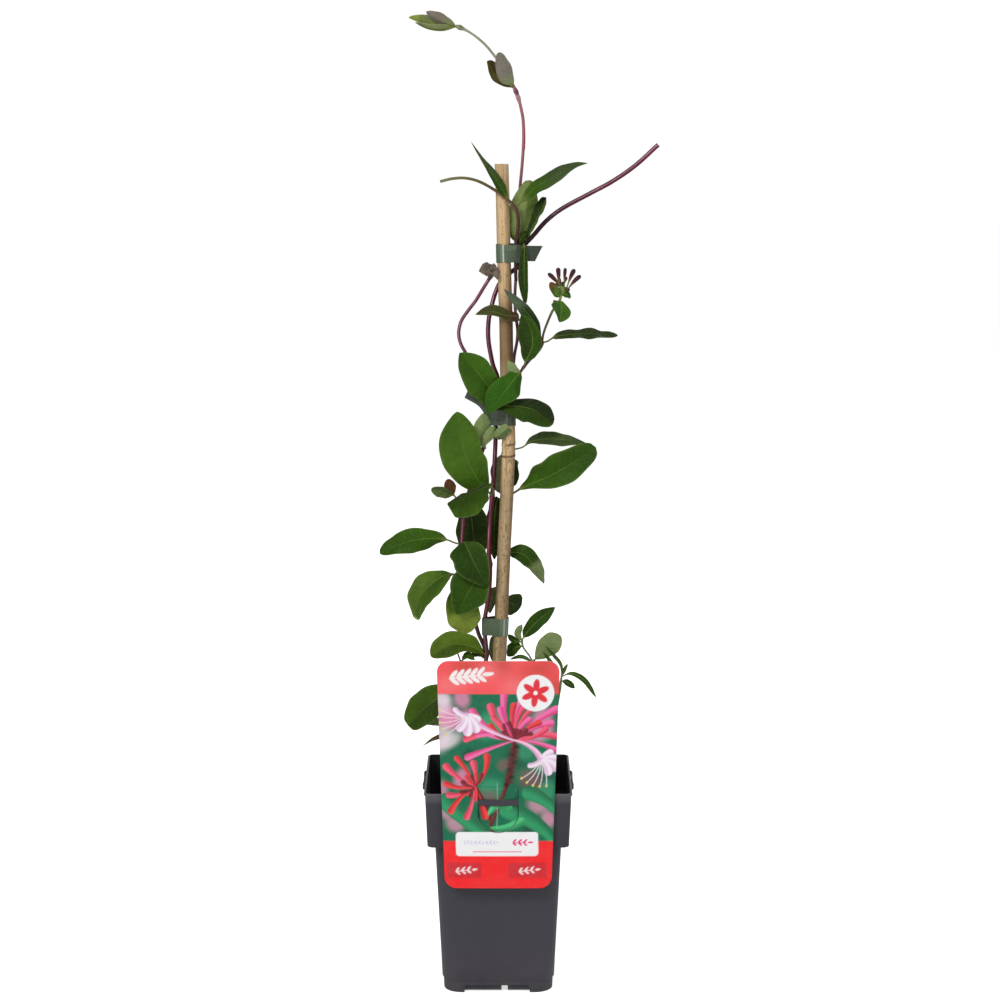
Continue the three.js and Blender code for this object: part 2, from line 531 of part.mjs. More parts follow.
function shootTop() {
  const forkLow = [5.4, 9, 391];
  const forkMiddle = [7.8, 9.2, 444];
  const node = [13.2, -1.8, 805];
  return joined([
    stalkOf(SHOOT_TOP),
    stalkOf(SHOOT_TIP),
    stalkOf(SHOOT_CUT),
    leaf([[2.3, 8.3, 317], [-3.6, 7.4, 315], [-5, 6.6, 305], [-5.2, 6.4, 293]], 5, BACK),
    leaf([[3.5, 8.8, 353], [-2.6, 8, 358], [-6.6, 7, 349], [-7.6, 6, 337.6]], 8, BACK),
    leaf([[3.6, 8.8, 349], [9, 13, 347], [20, 22, 339.6]], 22, [-0.5, -0.8, 0.3]),
    leaf([forkLow, [12, 9, 393], [22, 6, 392], [31, 2, 383], [41, -1, 366.4]], 19, FRONT,
      { twist: -1.1, blunt: 0.45 }),
    leaf([forkLow, [-4, 18, 398], [-13, 30, 396], [-20, 44, 386]], 22, UP, { wave: 1.5 }),
    leaf([forkMiddle, [13, 8, 447], [21.6, 5, 452.6], [52, -4, 468], [86.6, -8, 491]],
      33, [-0.1, -0.98, 0.2],
      { stalk: 0.14, wave: 1.5, waves: 2.5, belly: 1.4, blunt: 0.6, fold: 0.12 }),
    leaf([forkMiddle, [5.4, 12, 452], [6, 13, 466], [7.4, 13, 483.4]], 26, [0, -1, 0.1], { blunt: 0.45 }),
    leaf([[7, 9.2, 436], [0, 13, 442], [-3.4, 13.4, 422], [-3.4, 12, 386]], 15, [0, -1, 0.1]),
    leaf([[9, 9.4, 468], [9, 22, 473], [10, 38, 468], [10, 52, 456]], 18, UP, { wave: 1.5 }),
    leaf([[9.7, 9, 486], [16, 6, 487.6], [22, 4, 489.6], [29, 2, 494.6], [52, -2, 497.6],
      [78, 0, 493.6]], 13.5,
      UP_FRONT, { stalk: 0.24, belly: 0.85 }),
    leaf([[16.4, 2.4, 604.4], [17.6, -4, 607], [8, -11.6, 608], [-5, -12.6, 611.6], [-20, -10, 609]],
      12,
      [0, -0.9, 0.4], { fold: 0.2, blunt: 0.5 }),
    leaf([[16.4, 3, 605], [21, 12, 601], [27, 26, 598], [30, 40, 589]], 16, UP, { wave: 1.2 }),
    leaf([[15.8, 3.4, 672], [20, 1.4, 680], [25, 1, 702], [29, 4, 725.4]], 25, BACK, { fold: 0.15 }),
    leaf([[15.8, 3.6, 670], [13.4, 6, 677], [12, 8, 688], [13.4, 8, 701]], 9, BACK),
    leaf([[15, -7.2, 701.4], [22, -9.6, 708], [26.6, -10.4, 715], [50, -12, 733], [78, -8, 740.5]],
      12.5,
      [-0.2, -0.9, 0.4], { stalk: 0.12, belly: 0.8, blunt: 0.7 }),
    leaf([[11.4, -8.6, 706], [9, -10.6, 712.6], [-3.6, -13, 733], [-23.6, -12, 759]],
      9, [0.4, -0.9, 0.2], SLIM),
    leaf([node, [11, -5, 810], [5, -7, 820], [0.4, -7, 835]], 14.5, [0.2, 1, 0.1], { belly: 1.2 }),
    leaf([node, [4, 2, 809], [-3.4, 4, 817], [-9.4, 4, 829]], 12, [0.4, -0.9, 0.3], { belly: 1.2 }),
    leaf([[-35, -4, 857], [-44, -6, 860], [-53, -7, 864.6], [-62, -7, 869.4]], 9, [0, 0.8, 0.6]),
    leaf([[-35, -4, 857], [-48, -2, 860], [-62, -2, 863], [-77, -4, 864.6]], 7, [0, -0.8, 0.6], SLIM),
    leaf([[-35, -4, 857], [-47, -6, 855.4], [-60, -7, 856.6], [-74, -6, 862]], 8.6, [0, -0.9, 0.4]),
  ]);
}

function shootFlower() {
  const fork = [38.8, -6, 584];
  return joined([
    stalkOf(SHOOT_FLOWER),
    stalkOf(FLOWER_STALK),
    leaf([[16.4, 1.6, 555.7], [19.4, -6, 558], [12, -15, 550], [2, -19, 537], [-8.6, -18, 522]],
      30, [0.1, -1, 0.15],
      { stalk: 0.17, belly: 0.85, fold: 0.12, rows: 8 }),
    leaf([[16.4, 1.6, 555.7], [19.4, -6, 556.8], [14, -11.4, 559.4], [8.4, -11, 568.4]], 9, BACK,
      { stalk: 0.35 }),
    leaf([fork, [34.4, -8, 598], [25.6, -9.4, 610.4], [15.4, -11.6, 621.4], [5, -12.6, 631.6]],
      13.5, [-0.4, -0.9, -0.1],
      { belly: 0.85, blunt: 0.7 }),
    leaf([[22.5, -4, 562], [24.6, -9, 569], [30, -14, 582], [28.4, -16, 597], [20.6, -15, 610.4]],
      17, FRONT,
      { stalk: 0.12, belly: 0.8, blunt: 0.7 }),
    leaf([fork, [43.4, -6, 585], [49, -7, 588.6], [76, -12, 592], [105, -10, 590.6]], 14.5, [0, -0.6, 0.8],
      { stalk: 0.15, wave: 0.8, waves: 3, blunt: 0.4 }),
    leaf([[52, -8.4, 617.6], [56, -12, 614.4], [56.4, -13.6, 609], [54, -14, 603]],
      15, FRONT, { belly: 0.9 }),
    leaf([[52, -8.4, 617.6], [50, -7, 619], [47, -3, 614]], 11, [-0.3, -0.8, 0.5]),
    leaf([[55.1, -9.4, 627], [52, -11, 629.4], [46, -11.6, 636]], 7.5, [-0.5, -0.8, 0.3]),
    leaf([[55.1, -9.4, 626.4], [59, -11, 626.4], [63, -11.6, 623.4]], 6.5, UP_FRONT),
  ]);
}

// Bud head: a small core with slender club-shaped buds, each a turned shape laid along its own line.
function budHead() {
  const core = [56, -9.6, 632.6];
  const bud = (tip, radius = 2.1) => {
    const reach = vec(tip).sub(vec(core));
    const length = reach.length();
    const profile = [[0, 0], [0.9, 0], [0.8, 0.35], [radius * 0.9, 0.6], [radius, 0.8],
      [radius * 0.7, 0.95], [0, 1]]
      .map(([r, share]) => new THREE.Vector2(r, share * length));
    const geometry = new THREE.LatheGeometry(profile, 5);
    const turn = new THREE.Quaternion().setFromUnitVectors(new THREE.Vector3(0, 1, 0), reach.normalize());
    geometry.applyQuaternion(turn);
    geometry.translate(...core);
    return solidOf(geometry);
  };
  const middle = new THREE.SphereGeometry(2.5, 8, 6);
  middle.translate(...core);
  return joined([
    solidOf(middle),
    bud([44.4, -12, 643.8]), bud([53, -12.6, 649]), bud([58.6, -9, 648.6], 1.7), bud([67, -11, 647.4]),
    bud([72.6, -9, 641.6]), bud([63.8, -13, 630.4], 1.6), bud([56.6, -15, 638.6], 1.6), bud([51, -4, 645.4]),
    bud([62, -3, 645]), bud([56, 0, 640], 1.5), bud([48.4, -5, 638], 1.4),
  ]);
}

function shootLowLeft() {
  return joined([
    stalkOf(SHOOT_LOW_LEFT),
    stalkOf(DRY_TWIG),
    leaf([[-33.4, -10, 264], [-44, -13, 268], [-61, -16, 260], [-81, -14, 238.4]],
      31, [-0.1, -0.9, 0.4],
      { belly: 1.2, blunt: 0.45 }),
    leaf([[-31, -11, 236], [-46, -9, 240], [-66, -6, 238]], 13, [0, 0.8, 0.6]),
    leaf([[-29, -11.6, 221], [-46, -13, 229], [-58, -14, 226.4], [-68, -14, 219.8]], 5, UP_FRONT, SLIM),
    leaf([[-33.2, -9, 296.6], [-28, -12, 303], [-21, -12, 299]], 7, UP_FRONT),
    leaf([[-31, -11, 236], [-38, 4, 244], [-44, 20, 242], [-48, 34, 232]], 20, UP, { wave: 1.5 }),
    leaf([[-26, -12.4, 190], [-34, -20, 201], [-41, -30, 204], [-45, -42, 198]], 20, [0, 0.3, 1],
      { wave: 1.5 }),
  ]);
}

function shootLowRight() {
  return joined([
    stalkOf(SHOOT_LOW_RIGHT),
    stalkOf(TWIG_LOW_RIGHT),
    leaf([[32.2, 4, 294.4], [38, 0, 301.6], [47, -3, 311.6], [56.6, -2, 318.6]], 20, [0, 1, -0.2],
      { belly: 1.4, blunt: 0.45 }),
    leaf([[21.4, 6.5, 313], [25, 3, 319.6], [36, -2, 333], [51, -3, 345.4]], 14, [-0.2, -0.95, 0.2]),
    leaf([[21.4, 6.5, 312], [17.6, 5, 319], [21.4, 4, 328]], 6.5, BACK),
    leaf([[21.6, 6.5, 311], [14.6, 9, 312], [8.4, 11, 317]], 6.5, UP_FRONT),
    leaf([[22.2, 6.1, 307.4], [16, 9, 305.4], [8, 13, 297]], 13, UP_FRONT),
    leaf([[32, 4, 292.6], [21, 6.4, 297.4], [10.6, 9, 294.6]], 4, UP_FRONT),
    leaf([[31.2, 3.2, 256], [36, 16, 263], [41, 30, 261], [44, 42, 251]], 20, UP, { wave: 1.5 }),
    leaf([[29.2, 2.1, 204], [22, -12, 214], [12, -26, 213], [2, -38, 205]], 21, [0, 0.2, 1],
      { wave: 1.5 }),
    leaf([[29.2, 2.1, 204], [34, 14, 212], [38, 28, 209], [40, 40, 200]], 18, UP, { wave: 1.5 }),
  ]);
}

function shootNarrow() {
  const tip = [57.1, -4, 281.6];
  return joined([
    stalkOf(SHOOT_NARROW),
    leaf([tip, [56.4, -6, 293], [50, -7, 302], [42, -8, 311]], 3.4, FRONT),
    leaf([[55.8, -4, 270], [52, -6, 284], [47, -7, 296], [40.4, -7, 305]], 4.6, FRONT),
    leaf([tip, [60, -5, 289], [62.6, -5, 293.6]], 3.4, FRONT),
    leaf([tip, [65, -5, 284.6], [76, -6, 280], [88.4, -7, 263]], 5.4, UP_FRONT),
    leaf([[56.7, -4, 278], [62, -6, 276.6], [69, -7, 271.6]], 6.4, UP_FRONT),
  ]);
}

// ---------- the whole ----------
const plant = new THREE.Group();

function place(name, solid, color, roughness) {
  const material = new THREE.MeshStandardMaterial({ color, roughness, metalness: 0 });
  const mesh = new THREE.Mesh(geometryOf(solid), material);
  mesh.name = name;
  plant.add(mesh);
}

place('pot', potSolid(), COLOUR.pot, 0.45);
place('soil', soilSolid(ROOTED), COLOUR.soil, 0.95);
place('cane', caneSolid(), COLOUR.cane, 0.6);
place('tie_low', tieRing(TIE_LOW, [STEM_MAIN, SHOOT_TOP]), COLOUR.tape, 0.35);
place('tie_middle', tieRing(TIE_MIDDLE, [STEM_MAIN, STEM_LEFT, SHOOT_TOP])
  .add(ribbon([[-8, -1.4, 518], [-15.6, -3, 531.6], [-28.4, -4, 539.6]], [0.5, 0, 0.87],
    7, TAPE_THICK)),
  COLOUR.tape, 0.35);
place('tie_top', tieRing(TIE_TOP, [STEM_MAIN, SHOOT_TOP, SHOOT_CUT])
  .add(ribbon([[15.6, -5.5, 662.2], [24, -6, 662.2], [35.6, -5.6, 662]], [0.28, 0, 1], 14, TAPE_THICK)),
  COLOUR.tape, 0.35);
place('label_card', cardSolid(), COLOUR.card, 0.3);
place('stem_main', stemMain(), COLOUR.leaf, 0.5);
place('stem_left', stemLeft(), COLOUR.leaf, 0.5);
place('shoot_top', shootTop(), COLOUR.leaf, 0.5);
place('shoot_flower', shootFlower(), COLOUR.leaf, 0.5);
place('flower_buds', budHead(), COLOUR.bud, 0.5);
place('shoot_low_left', shootLowLeft(), COLOUR.darkLeaf, 0.5);
place('shoot_low_right', shootLowRight(), COLOUR.youngLeaf, 0.5);
place('shoot_narrow', shootNarrow(), COLOUR.youngLeaf, 0.5);

export default plant;
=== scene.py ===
"""A young honeysuckle vine, tied to a bamboo cane in a square nursery pot, with a hanging picture card.

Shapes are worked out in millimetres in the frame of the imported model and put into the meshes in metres.
The origin is the middle of the pot's base; the card side of the pot faces -Y.
"""
import math

import bmesh
import bpy
import numpy as np
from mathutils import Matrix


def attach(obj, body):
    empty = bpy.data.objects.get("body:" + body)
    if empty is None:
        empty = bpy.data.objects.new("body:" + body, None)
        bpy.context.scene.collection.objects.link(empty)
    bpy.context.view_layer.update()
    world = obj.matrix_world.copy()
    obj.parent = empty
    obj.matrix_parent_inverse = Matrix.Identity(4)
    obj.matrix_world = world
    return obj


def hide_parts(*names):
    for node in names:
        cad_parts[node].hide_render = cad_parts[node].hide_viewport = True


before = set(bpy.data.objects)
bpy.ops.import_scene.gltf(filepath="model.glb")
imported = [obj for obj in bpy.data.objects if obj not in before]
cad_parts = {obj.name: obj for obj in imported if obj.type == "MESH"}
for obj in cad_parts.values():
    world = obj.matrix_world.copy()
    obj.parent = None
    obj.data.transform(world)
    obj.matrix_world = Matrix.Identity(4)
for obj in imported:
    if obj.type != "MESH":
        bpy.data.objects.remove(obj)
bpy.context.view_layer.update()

MM = 0.001

# ---------- camera ----------
EYE = (0.0016, -2.1, 0.795)
EYE_DROP = 9.53
camera = bpy.data.objects.new("camera", bpy.data.cameras.new("camera"))
camera.location = EYE
camera.rotation_euler = (math.radians(90 - EYE_DROP), 0, 0)
camera.data.lens = 85.9
camera.data.sensor_width = 36
camera.data.clip_end = 20
bpy.context.collection.objects.link(camera)
bpy.context.scene.camera = camera


# ---------- small helpers ----------
def rgb(*levels):
    """Linear colour from 0..255 screen levels: the usual screen curve, undone."""
    c = np.asarray(levels, float) / 255
    return np.where(c <= 0.04045, c / 12.92, ((c + 0.055) / 1.055) ** 2.4)


def unit(v):
    """Vectors scaled to length one, along the last axis."""
    return v / np.linalg.norm(v, axis=-1, keepdims=True)


def step(low, high, x):
    """Smooth step: 0 at low, 1 at high, 3q^2 - 2q^3 between, also with low above high."""
    q = np.clip((x - low) / (high - low), 0, 1)
    return q * q * (3 - 2 * q)


def bell(distance, width):
    """e^-(distance / width)^2."""
    return np.exp(-(distance / width) ** 2)


def laid(base, colour, share):
    """A colour laid over another by a share from 0 to 1."""
    return base * (1 - share) + colour * share


def circle(count):
    """Evenly spaced angles of one turn."""
    return np.linspace(0, 2 * np.pi, count, endpoint=False)


def points_of(x, y, z):
    """Points from three arrays stretched to one shape."""
    return np.stack(np.broadcast_arrays(x, y, z), -1)


def swing(a, b, angle):
    """Two coordinates turned by an angle: a cos - b sin, a sin + b cos."""
    c, s = np.cos(angle), np.sin(angle)
    return a * c - b * s, a * s + b * c


def tones_at(marks, share):
    """Colours at shares of a length, mixed in a straight line between marks of (share, screen levels)."""
    at = [where for where, _ in marks]
    colours = np.array([rgb(*levels) for _, levels in marks])
    return np.stack([np.interp(share, at, colours[:, k]) for k in range(3)], -1)


SPAN_STEPS, NUDGE = 32, 0.05


def line_at(points, share):
    """Places and directions at shares 0..1 of the length of a centripetal Catmull-Rom curve.

    Each span's tangents are set from the square roots of the neighbouring chord lengths, and the
    end points are carried on straight. The curve is then read by its arc length.
    """
    p = np.asarray(points, float)
    p = np.vstack([2 * p[0] - p[1], p, 2 * p[-1] - p[-2]])
    root = np.sqrt(np.linalg.norm(np.diff(p, axis=0), axis=1))[:, None]
    a, b, c, d = p[:-3], p[1:-2], p[2:-1], p[3:]
    ra, rb, rc = root[:-2], root[1:-1], root[2:]
    leave = ((b - a) / ra - (c - a) / (ra + rb) + (c - b) / rb) * rb
    reach = ((c - b) / rb - (d - b) / (rb + rc) + (d - c) / rc) * rb
    w = np.linspace(0, 1, SPAN_STEPS, endpoint=False)[:, None, None]
    fine = b + w * (leave + w * (3 * (c - b) - 2 * leave - reach + w * (2 * (b - c) + leave + reach)))
    fine = np.vstack([fine.transpose(1, 0, 2).reshape(-1, 3), p[-2]])
    run = np.concatenate([[0], np.cumsum(np.linalg.norm(np.diff(fine, axis=0), axis=1))])
    length = run[-1]

    def read(at):
        return np.stack([np.interp(at, run, fine[:, k]) for k in range(3)], -1)

    at = np.asarray(share, float) * length
    ahead, behind = read(np.minimum(at + NUDGE, length)), read(np.maximum(at - NUDGE, 0))
    return read(at), unit(ahead - behind), length


def rings_round(middle, along, side, radius, angle):
    """Rings round a line: middle + radius (side cos angle + other sin angle), other being square to
    both along and side."""
    other = np.cross(along, side)
    return middle[:, None] + radius[..., None] * (
        side[:, None] * np.cos(angle)[:, None] + other[:, None] * np.sin(angle)[:, None])


def ball_rings(rows, count, gap):
    """Rings of a ball of radius one from the bottom up, the end ones at a small angle from its poles."""
    up, about = np.linspace(gap, np.pi - gap, rows)[:, None], circle(count)
    return points_of(np.sin(up) * np.cos(about), np.sin(up) * np.sin(about), -np.cos(up))


def skin(rows, count, closed=True):
    """Quads over rows of rings with count points each; closed also shuts both ends with strips."""
    i, k = np.meshgrid(np.arange(rows - 1), np.arange(count), indexing="ij")
    a, b = i * count + k, i * count + (k + 1) % count
    quads = np.stack([a, b, b + count, a + count], -1).reshape(-1, 4)
    if closed:
        k = np.arange(count // 2 - 1)
        low = np.stack([k, count - 1 - k, count - 2 - k, k + 1], -1)
        high = (rows - 1) * count + np.stack([k, k + 1, count - 2 - k, count - 1 - k], -1)
        quads = np.vstack([quads, low, high])
    return quads


def of_rings(rings, tone, place=None):
    """A closed shape over rings of points."""
    return rings.reshape(-1, 3), skin(*rings.shape[:2]), tone, place


def make(name, shapes, materials, node, crease=35):
    """One object from its shapes, riding on the plant's body in place of a node of the frame.

    A shape is (points, quads, tone, place): a tone of three or four values for the whole shape or for each
    point, and the place at which each point reads its pattern, or None.
    """
    columns, start = ([], [], [], []), 0
    for points, quads, tone, place in shapes:
        channels = np.shape(tone)[-1]
        tones = np.ones((len(points), 4))
        tones[:, :channels] = np.reshape(tone, (-1, channels))
        places = np.zeros((len(points), 3)) if place is None else np.reshape(place, (-1, 3))
        for column, values in zip(columns, (points, quads + start, tones, places)):
            column.append(values)
        start += len(points)
    points, quads, tones, places = (np.vstack(column) for column in columns)
    mesh = bpy.data.meshes.new(name)
    mesh.from_pydata(points * MM, [], quads)
    mesh.polygons.foreach_set("use_smooth", np.ones(len(quads), bool))
    mesh.attributes.new("tone", "FLOAT_COLOR", "POINT").data.foreach_set("color", tones.ravel())
    mesh.attributes.new("place", "FLOAT_VECTOR", "POINT").data.foreach_set("vector", places.ravel())
    mesh.set_sharp_from_angle(angle=math.radians(crease))
    for material in materials:
        mesh.materials.append(material)
    mesh.validate()
    made = bpy.data.objects.new(name, mesh)
    bpy.context.collection.objects.link(made)
    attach(made, "root")
    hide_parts(node)
    return made


# ---------- material helpers ----------
def plug(tree, socket, value):
    """Feeds an input with a value or the socket that it comes from; an array is a linear colour."""
    if isinstance(value, bpy.types.NodeSocket):
        tree.links.new(value, socket)
    else:
        socket.default_value = (*value, 1) if isinstance(value, np.ndarray) else value


def put(tree, kind, inputs=None, **settings):
    """A node with its settings and inputs."""
    made = tree.nodes.new("ShaderNode" + kind)
    for key, value in settings.items():
        setattr(made, key, value)
    for key, value in (inputs or {}).items():
        plug(tree, made.inputs[key], value)
    return made


def calc(tree, operation, a, b=0.0, c=0.0):
    """The result of a Math node."""
    return put(tree, "Math", {0: a, 1: b, 2: c}, operation=operation).outputs[0]


def times(tree, a, b):
    """a times b."""
    return calc(tree, "MULTIPLY", a, b)


def scaled(tree, a, b, c):
    """a times b, plus c."""
    return calc(tree, "MULTIPLY_ADD", a, b, c)


def blend(tree, factor, a, b, kind="MIX"):
    """A colour mixed from a to b by factor. Colours given as numbers are linear."""
    a, b = (colour if isinstance(colour, bpy.types.NodeSocket) else (*colour, 1) for colour in (a, b))
    return put(tree, "Mix", {0: factor, 6: a, 7: b}, data_type="RGBA", blend_type=kind).outputs[2]


def shaded(tree, colour, shares, factor=1.0):
    """A colour with its red, green and blue multiplied by shares."""
    return blend(tree, factor, colour, shares, "MULTIPLY")


def tinted(tree, base, colour, mask, strength):
    """A colour laid over another by a mask of some strength."""
    return blend(tree, times(tree, mask, strength), base, colour)


def fit(tree, value, low, high, to_low=0.0, to_high=1.0):
    """A value carried smoothly from one span to another."""
    return put(tree, "MapRange", {0: value, 1: low, 2: high, 3: to_low, 4: to_high},
               interpolation_type="SMOOTHSTEP").outputs[0]


def noise(tree, vector, scale, detail, rough=0.55):
    """The value of a noise at a place."""
    return put(tree, "TexNoise", {"Vector": vector, "Scale": scale, "Detail": detail,
                                  "Roughness": rough}).outputs["Fac"]


def stretched(tree, vector, x, y, z):
    """A place with its three axes scaled apart."""
    return put(tree, "VectorMath", {0: vector, 1: (x, y, z)}, operation="MULTIPLY").outputs[0]


def upright(tree, share):
    """The object's own place with its height scaled, which draws a noise out along the height."""
    return stretched(tree, object_place(tree), 1, 1, share)


def object_place(tree):
    """Object coordinates, which are the frame's metres on every piece."""
    return put(tree, "TexCoord").outputs["Object"]


def painted(tree, name):
    """The values that the points of a mesh carry under a name."""
    return put(tree, "Attribute", attribute_name=name).outputs


def group_of(name, inputs, outputs, build):
    """A shader group with plain values as outputs: build(tree, inputs) gives the socket for each."""
    tree = bpy.data.node_groups.new(name, "ShaderNodeTree")
    for label, kind, value in inputs:
        made = tree.interface.new_socket(label, in_out="INPUT", socket_type="NodeSocket" + kind)
        if value is not None:
            made.default_value = value
    for label in outputs:
        tree.interface.new_socket(label, in_out="OUTPUT", socket_type="NodeSocketFloat")
    begin, end = tree.nodes.new("NodeGroupInput"), tree.nodes.new("NodeGroupOutput")
    for label, value in build(tree, begin.outputs).items():
        tree.links.new(value, end.inputs[label])
    return tree


def use(tree, group, **inputs):
    """A group placed in a tree."""
    made = tree.nodes.new("ShaderNodeGroup")
    made.node_tree = group
    for key, value in inputs.items():
        plug(tree, made.inputs[key], value)
    return made.outputs


def cloud_of(tree, scale):
    """The soft uneven mask at the object's own place."""
    return use(tree, mottle, Place=object_place(tree), Scale=scale)["Mask"]


def finish_of(name):
    """A new material with its tree and its Principled shader."""
    material = bpy.data.materials.new(name)
    material.use_nodes = True
    return material, material.node_tree, material.node_tree.nodes["Principled BSDF"]


def feed(tree, shader, height=None, strength=0.0, distance=0.0, **inputs):
    """Sets the shader's inputs, with _ for a space in their names; height feeds a Bump node on its Normal."""
    for key, value in inputs.items():
        plug(tree, shader.inputs[key.replace("_", " ")], value)
    if height is not None:
        bump = put(tree, "Bump", {"Height": height, "Strength": strength, "Distance": distance})
        tree.links.new(bump.outputs[0], shader.inputs["Normal"])


# ---------- shared effects ----------
def mottle_nodes(tree, given):
    """Two noises, one five times finer, summed to a soft uneven mask."""
    wide = noise(tree, given["Place"], given["Scale"], 3.0)
    fine = noise(tree, stretched(tree, given["Place"], 5, 5, 5), given["Scale"], 2.0)
    return {"Mask": fit(tree, scaled(tree, fine, 0.4, times(tree, wide, 0.6)), 0.36, 0.64)}


def vein_nodes(tree, given):
    """Leaf veins from the millimetres along and across a blade.

    The rib is a band round across = 0 that narrows to the tip. The side veins are bands of
    along - 0.85 |across| + 0.018 across^2, one every few millimetres, set off by half on one side.
    The net is the cell borders of a Voronoi pattern a millimetre or so wide.
    """
    parts = put(tree, "SeparateXYZ", {0: given["Place"]}).outputs
    along, across, share = parts[0], parts[1], parts[2]
    off = calc(tree, "ABSOLUTE", across)
    width = scaled(tree, share, -0.4, 0.55)
    rib = fit(tree, off, times(tree, width, 0.5), width, 1.0, 0.0)
    rib = times(tree, rib, fit(tree, share, 0.5, 1.0, 1.0, 0.25))
    bend = times(tree, times(tree, off, off), 0.018)
    half = times(tree, calc(tree, "GREATER_THAN", across, 0.0), 0.5)
    wander = times(tree, noise(tree, given["Place"], 0.12, 2.0), 1.6)
    slant = calc(tree, "ADD", scaled(tree, off, -0.85, along), bend)
    phase = calc(tree, "ADD", calc(tree, "DIVIDE", slant, given["Spacing"]), half)
    phase = calc(tree, "FRACT", calc(tree, "ADD", phase, wander))
    ridge = times(tree, calc(tree, "ABSOLUTE", calc(tree, "SUBTRACT", phase, 0.5)), 2.0)
    cells = put(tree, "TexVoronoi", {"Vector": given["Place"], "Scale": 0.75},
                feature="DISTANCE_TO_EDGE").outputs["Distance"]
    return {"Rib": rib, "Side": fit(tree, ridge, 0.0, 0.13, 1.0, 0.0),
            "Net": fit(tree, cells, 0.0, 0.12, 1.0, 0.0), "Pillow": ridge}


PLACE_INPUT = ("Place", "Vector", None)
mottle = group_of("soft_mottle", [PLACE_INPUT, ("Scale", "Float", 40.0)], ["Mask"], mottle_nodes)
veins = group_of("blade_veins", [PLACE_INPUT, ("Spacing", "Float", 6.0)],
                 ["Rib", "Side", "Net", "Pillow"], vein_nodes)


# ---------- materials ----------
def leaf_finish(name, gloss, pale, spacing):
    """Leaf skin: the blade's own tone, darker and lighter in soft clouds that are partly its own mottling and
    partly painted shade and painted sheen, pale ribs, faint side veins and net, satin on top.
    """
    material, tree, shader = finish_of(name)
    tone = painted(tree, "tone")
    base, upper = tone["Color"], tone["Alpha"]
    lines = use(tree, veins, Place=painted(tree, "place")["Vector"], Spacing=spacing)
    cloud = cloud_of(tree, 75.0)
    light = blend(tree, 0.4, base, rgb(*pale))
    # darker clouds and lighter, paler clouds: part mottling, part painted shade and painted sheen
    body = tinted(tree, base, shaded(tree, base, (0.55, 0.62, 0.4), 0.5), cloud, 0.6)
    body = tinted(tree, body, shaded(tree, base, (1.45, 1.35, 1.1)), cloud_of(tree, 28.0), 0.5)
    body = tinted(tree, body, light, lines["Net"], 0.07)
    body = tinted(tree, body, light, lines["Side"], 0.17)
    body = tinted(tree, body, light, lines["Rib"], scaled(tree, upper, 0.6, 0.2))
    rough = scaled(tree, cloud, 0.12, scaled(tree, upper, -gloss, 0.66))
    height = scaled(tree, lines["Pillow"], 0.5, times(tree, lines["Net"], -0.25))
    height = scaled(tree, cloud, 0.5, scaled(tree, lines["Rib"], -0.5, height))
    feed(tree, shader, height, 0.6, 0.001, Base_Color=body, Roughness=rough,
         Subsurface_Weight=0.05, Subsurface_Scale=0.001, Specular_IOR_Level=0.14)
    return material


def edge_shade(tree, body, tone, shares, start, most):
    """Painted shade: a round thing's colour darkened where it turns away from the eye."""
    facing = put(tree, "LayerWeight", {0: 0.5}).outputs["Facing"]
    return blend(tree, fit(tree, facing, start, 0.95, 0.0, most), body, shaded(tree, tone, shares))


def stem_finish(name, rough):
    """Stem bark: the stem's own tone, long streaks and small pale pores, with painted shade at its edges."""
    material, tree, shader = finish_of(name)
    tone, place = painted(tree, "tone")["Color"], painted(tree, "place")["Vector"]
    streak = noise(tree, stretched(tree, place, 0.05, 2.2, 2.2), 1.4, 3.0)
    pores = put(tree, "TexVoronoi", {"Vector": stretched(tree, place, 0.4, 1.3, 1.3), "Scale": 1.0})
    light = blend(tree, 0.2, tone, rgb(214, 150, 164))
    body = blend(tree, fit(tree, streak, 0.35, 0.62), shaded(tree, tone, (0.5, 0.46, 0.5)), tone)
    body = tinted(tree, body, light, fit(tree, streak, 0.55, 0.75), 0.35)
    body = tinted(tree, body, light, fit(tree, pores.outputs["Distance"], 0.12, 0.2, 1.0, 0.0), 0.2)
    # painted shade at the stem's edges
    body = edge_shade(tree, body, tone, (0.2, 0.12, 0.16), 0.45, 0.75)
    feed(tree, shader, streak, 0.06, 0.0002, Base_Color=body, Roughness=rough, Specular_IOR_Level=0.3)
    return material


def pot_finish():
    """Charcoal moulded plastic: its own tone, fine grain, faint upright flow marks and dust low down."""
    material, tree, shader = finish_of("pot_charcoal")
    tone, cloud = painted(tree, "tone")["Color"], cloud_of(tree, 18.0)
    flow = noise(tree, upright(tree, 0.06), 260.0, 2.0)
    grain = noise(tree, object_place(tree), 1800.0, 2.0)
    up = put(tree, "SeparateXYZ", {0: object_place(tree)}).outputs[2]
    dust = times(tree, fit(tree, up, 0.0, 0.05, 0.5, 0.0), cloud)
    body = tinted(tree, tone, blend(tree, 0.25, tone, rgb(84, 83, 90)), cloud, 0.35)
    body = tinted(tree, body, rgb(82, 81, 88), flow, 0.12)
    body = tinted(tree, body, rgb(120, 112, 104), dust, 0.3)
    rough = scaled(tree, cloud, 0.12, scaled(tree, flow, 0.08, 0.4))
    height = scaled(tree, flow, 0.4, times(tree, grain, 0.35))
    feed(tree, shader, height, 0.18, 0.0002, Base_Color=body, Roughness=rough, Specular_IOR_Level=0.3)
    return material


def soil_finish():
    """Peaty compost: dark crumbs with brown fibre tones, fully rough."""
    material, tree, shader = finish_of("potting_compost")
    tone = painted(tree, "tone")["Color"]
    crumb = noise(tree, object_place(tree), 900.0, 4.0, 0.7)
    body = blend(tree, cloud_of(tree, 90.0), tone, shaded(tree, tone, (0.42, 0.38, 0.36)))
    body = blend(tree, fit(tree, crumb, 0.6, 0.75), body, rgb(112, 84, 60))
    feed(tree, shader, crumb, 0.8, 0.001, Base_Color=body, Roughness=0.95, Specular_IOR_Level=0.2)
    return material


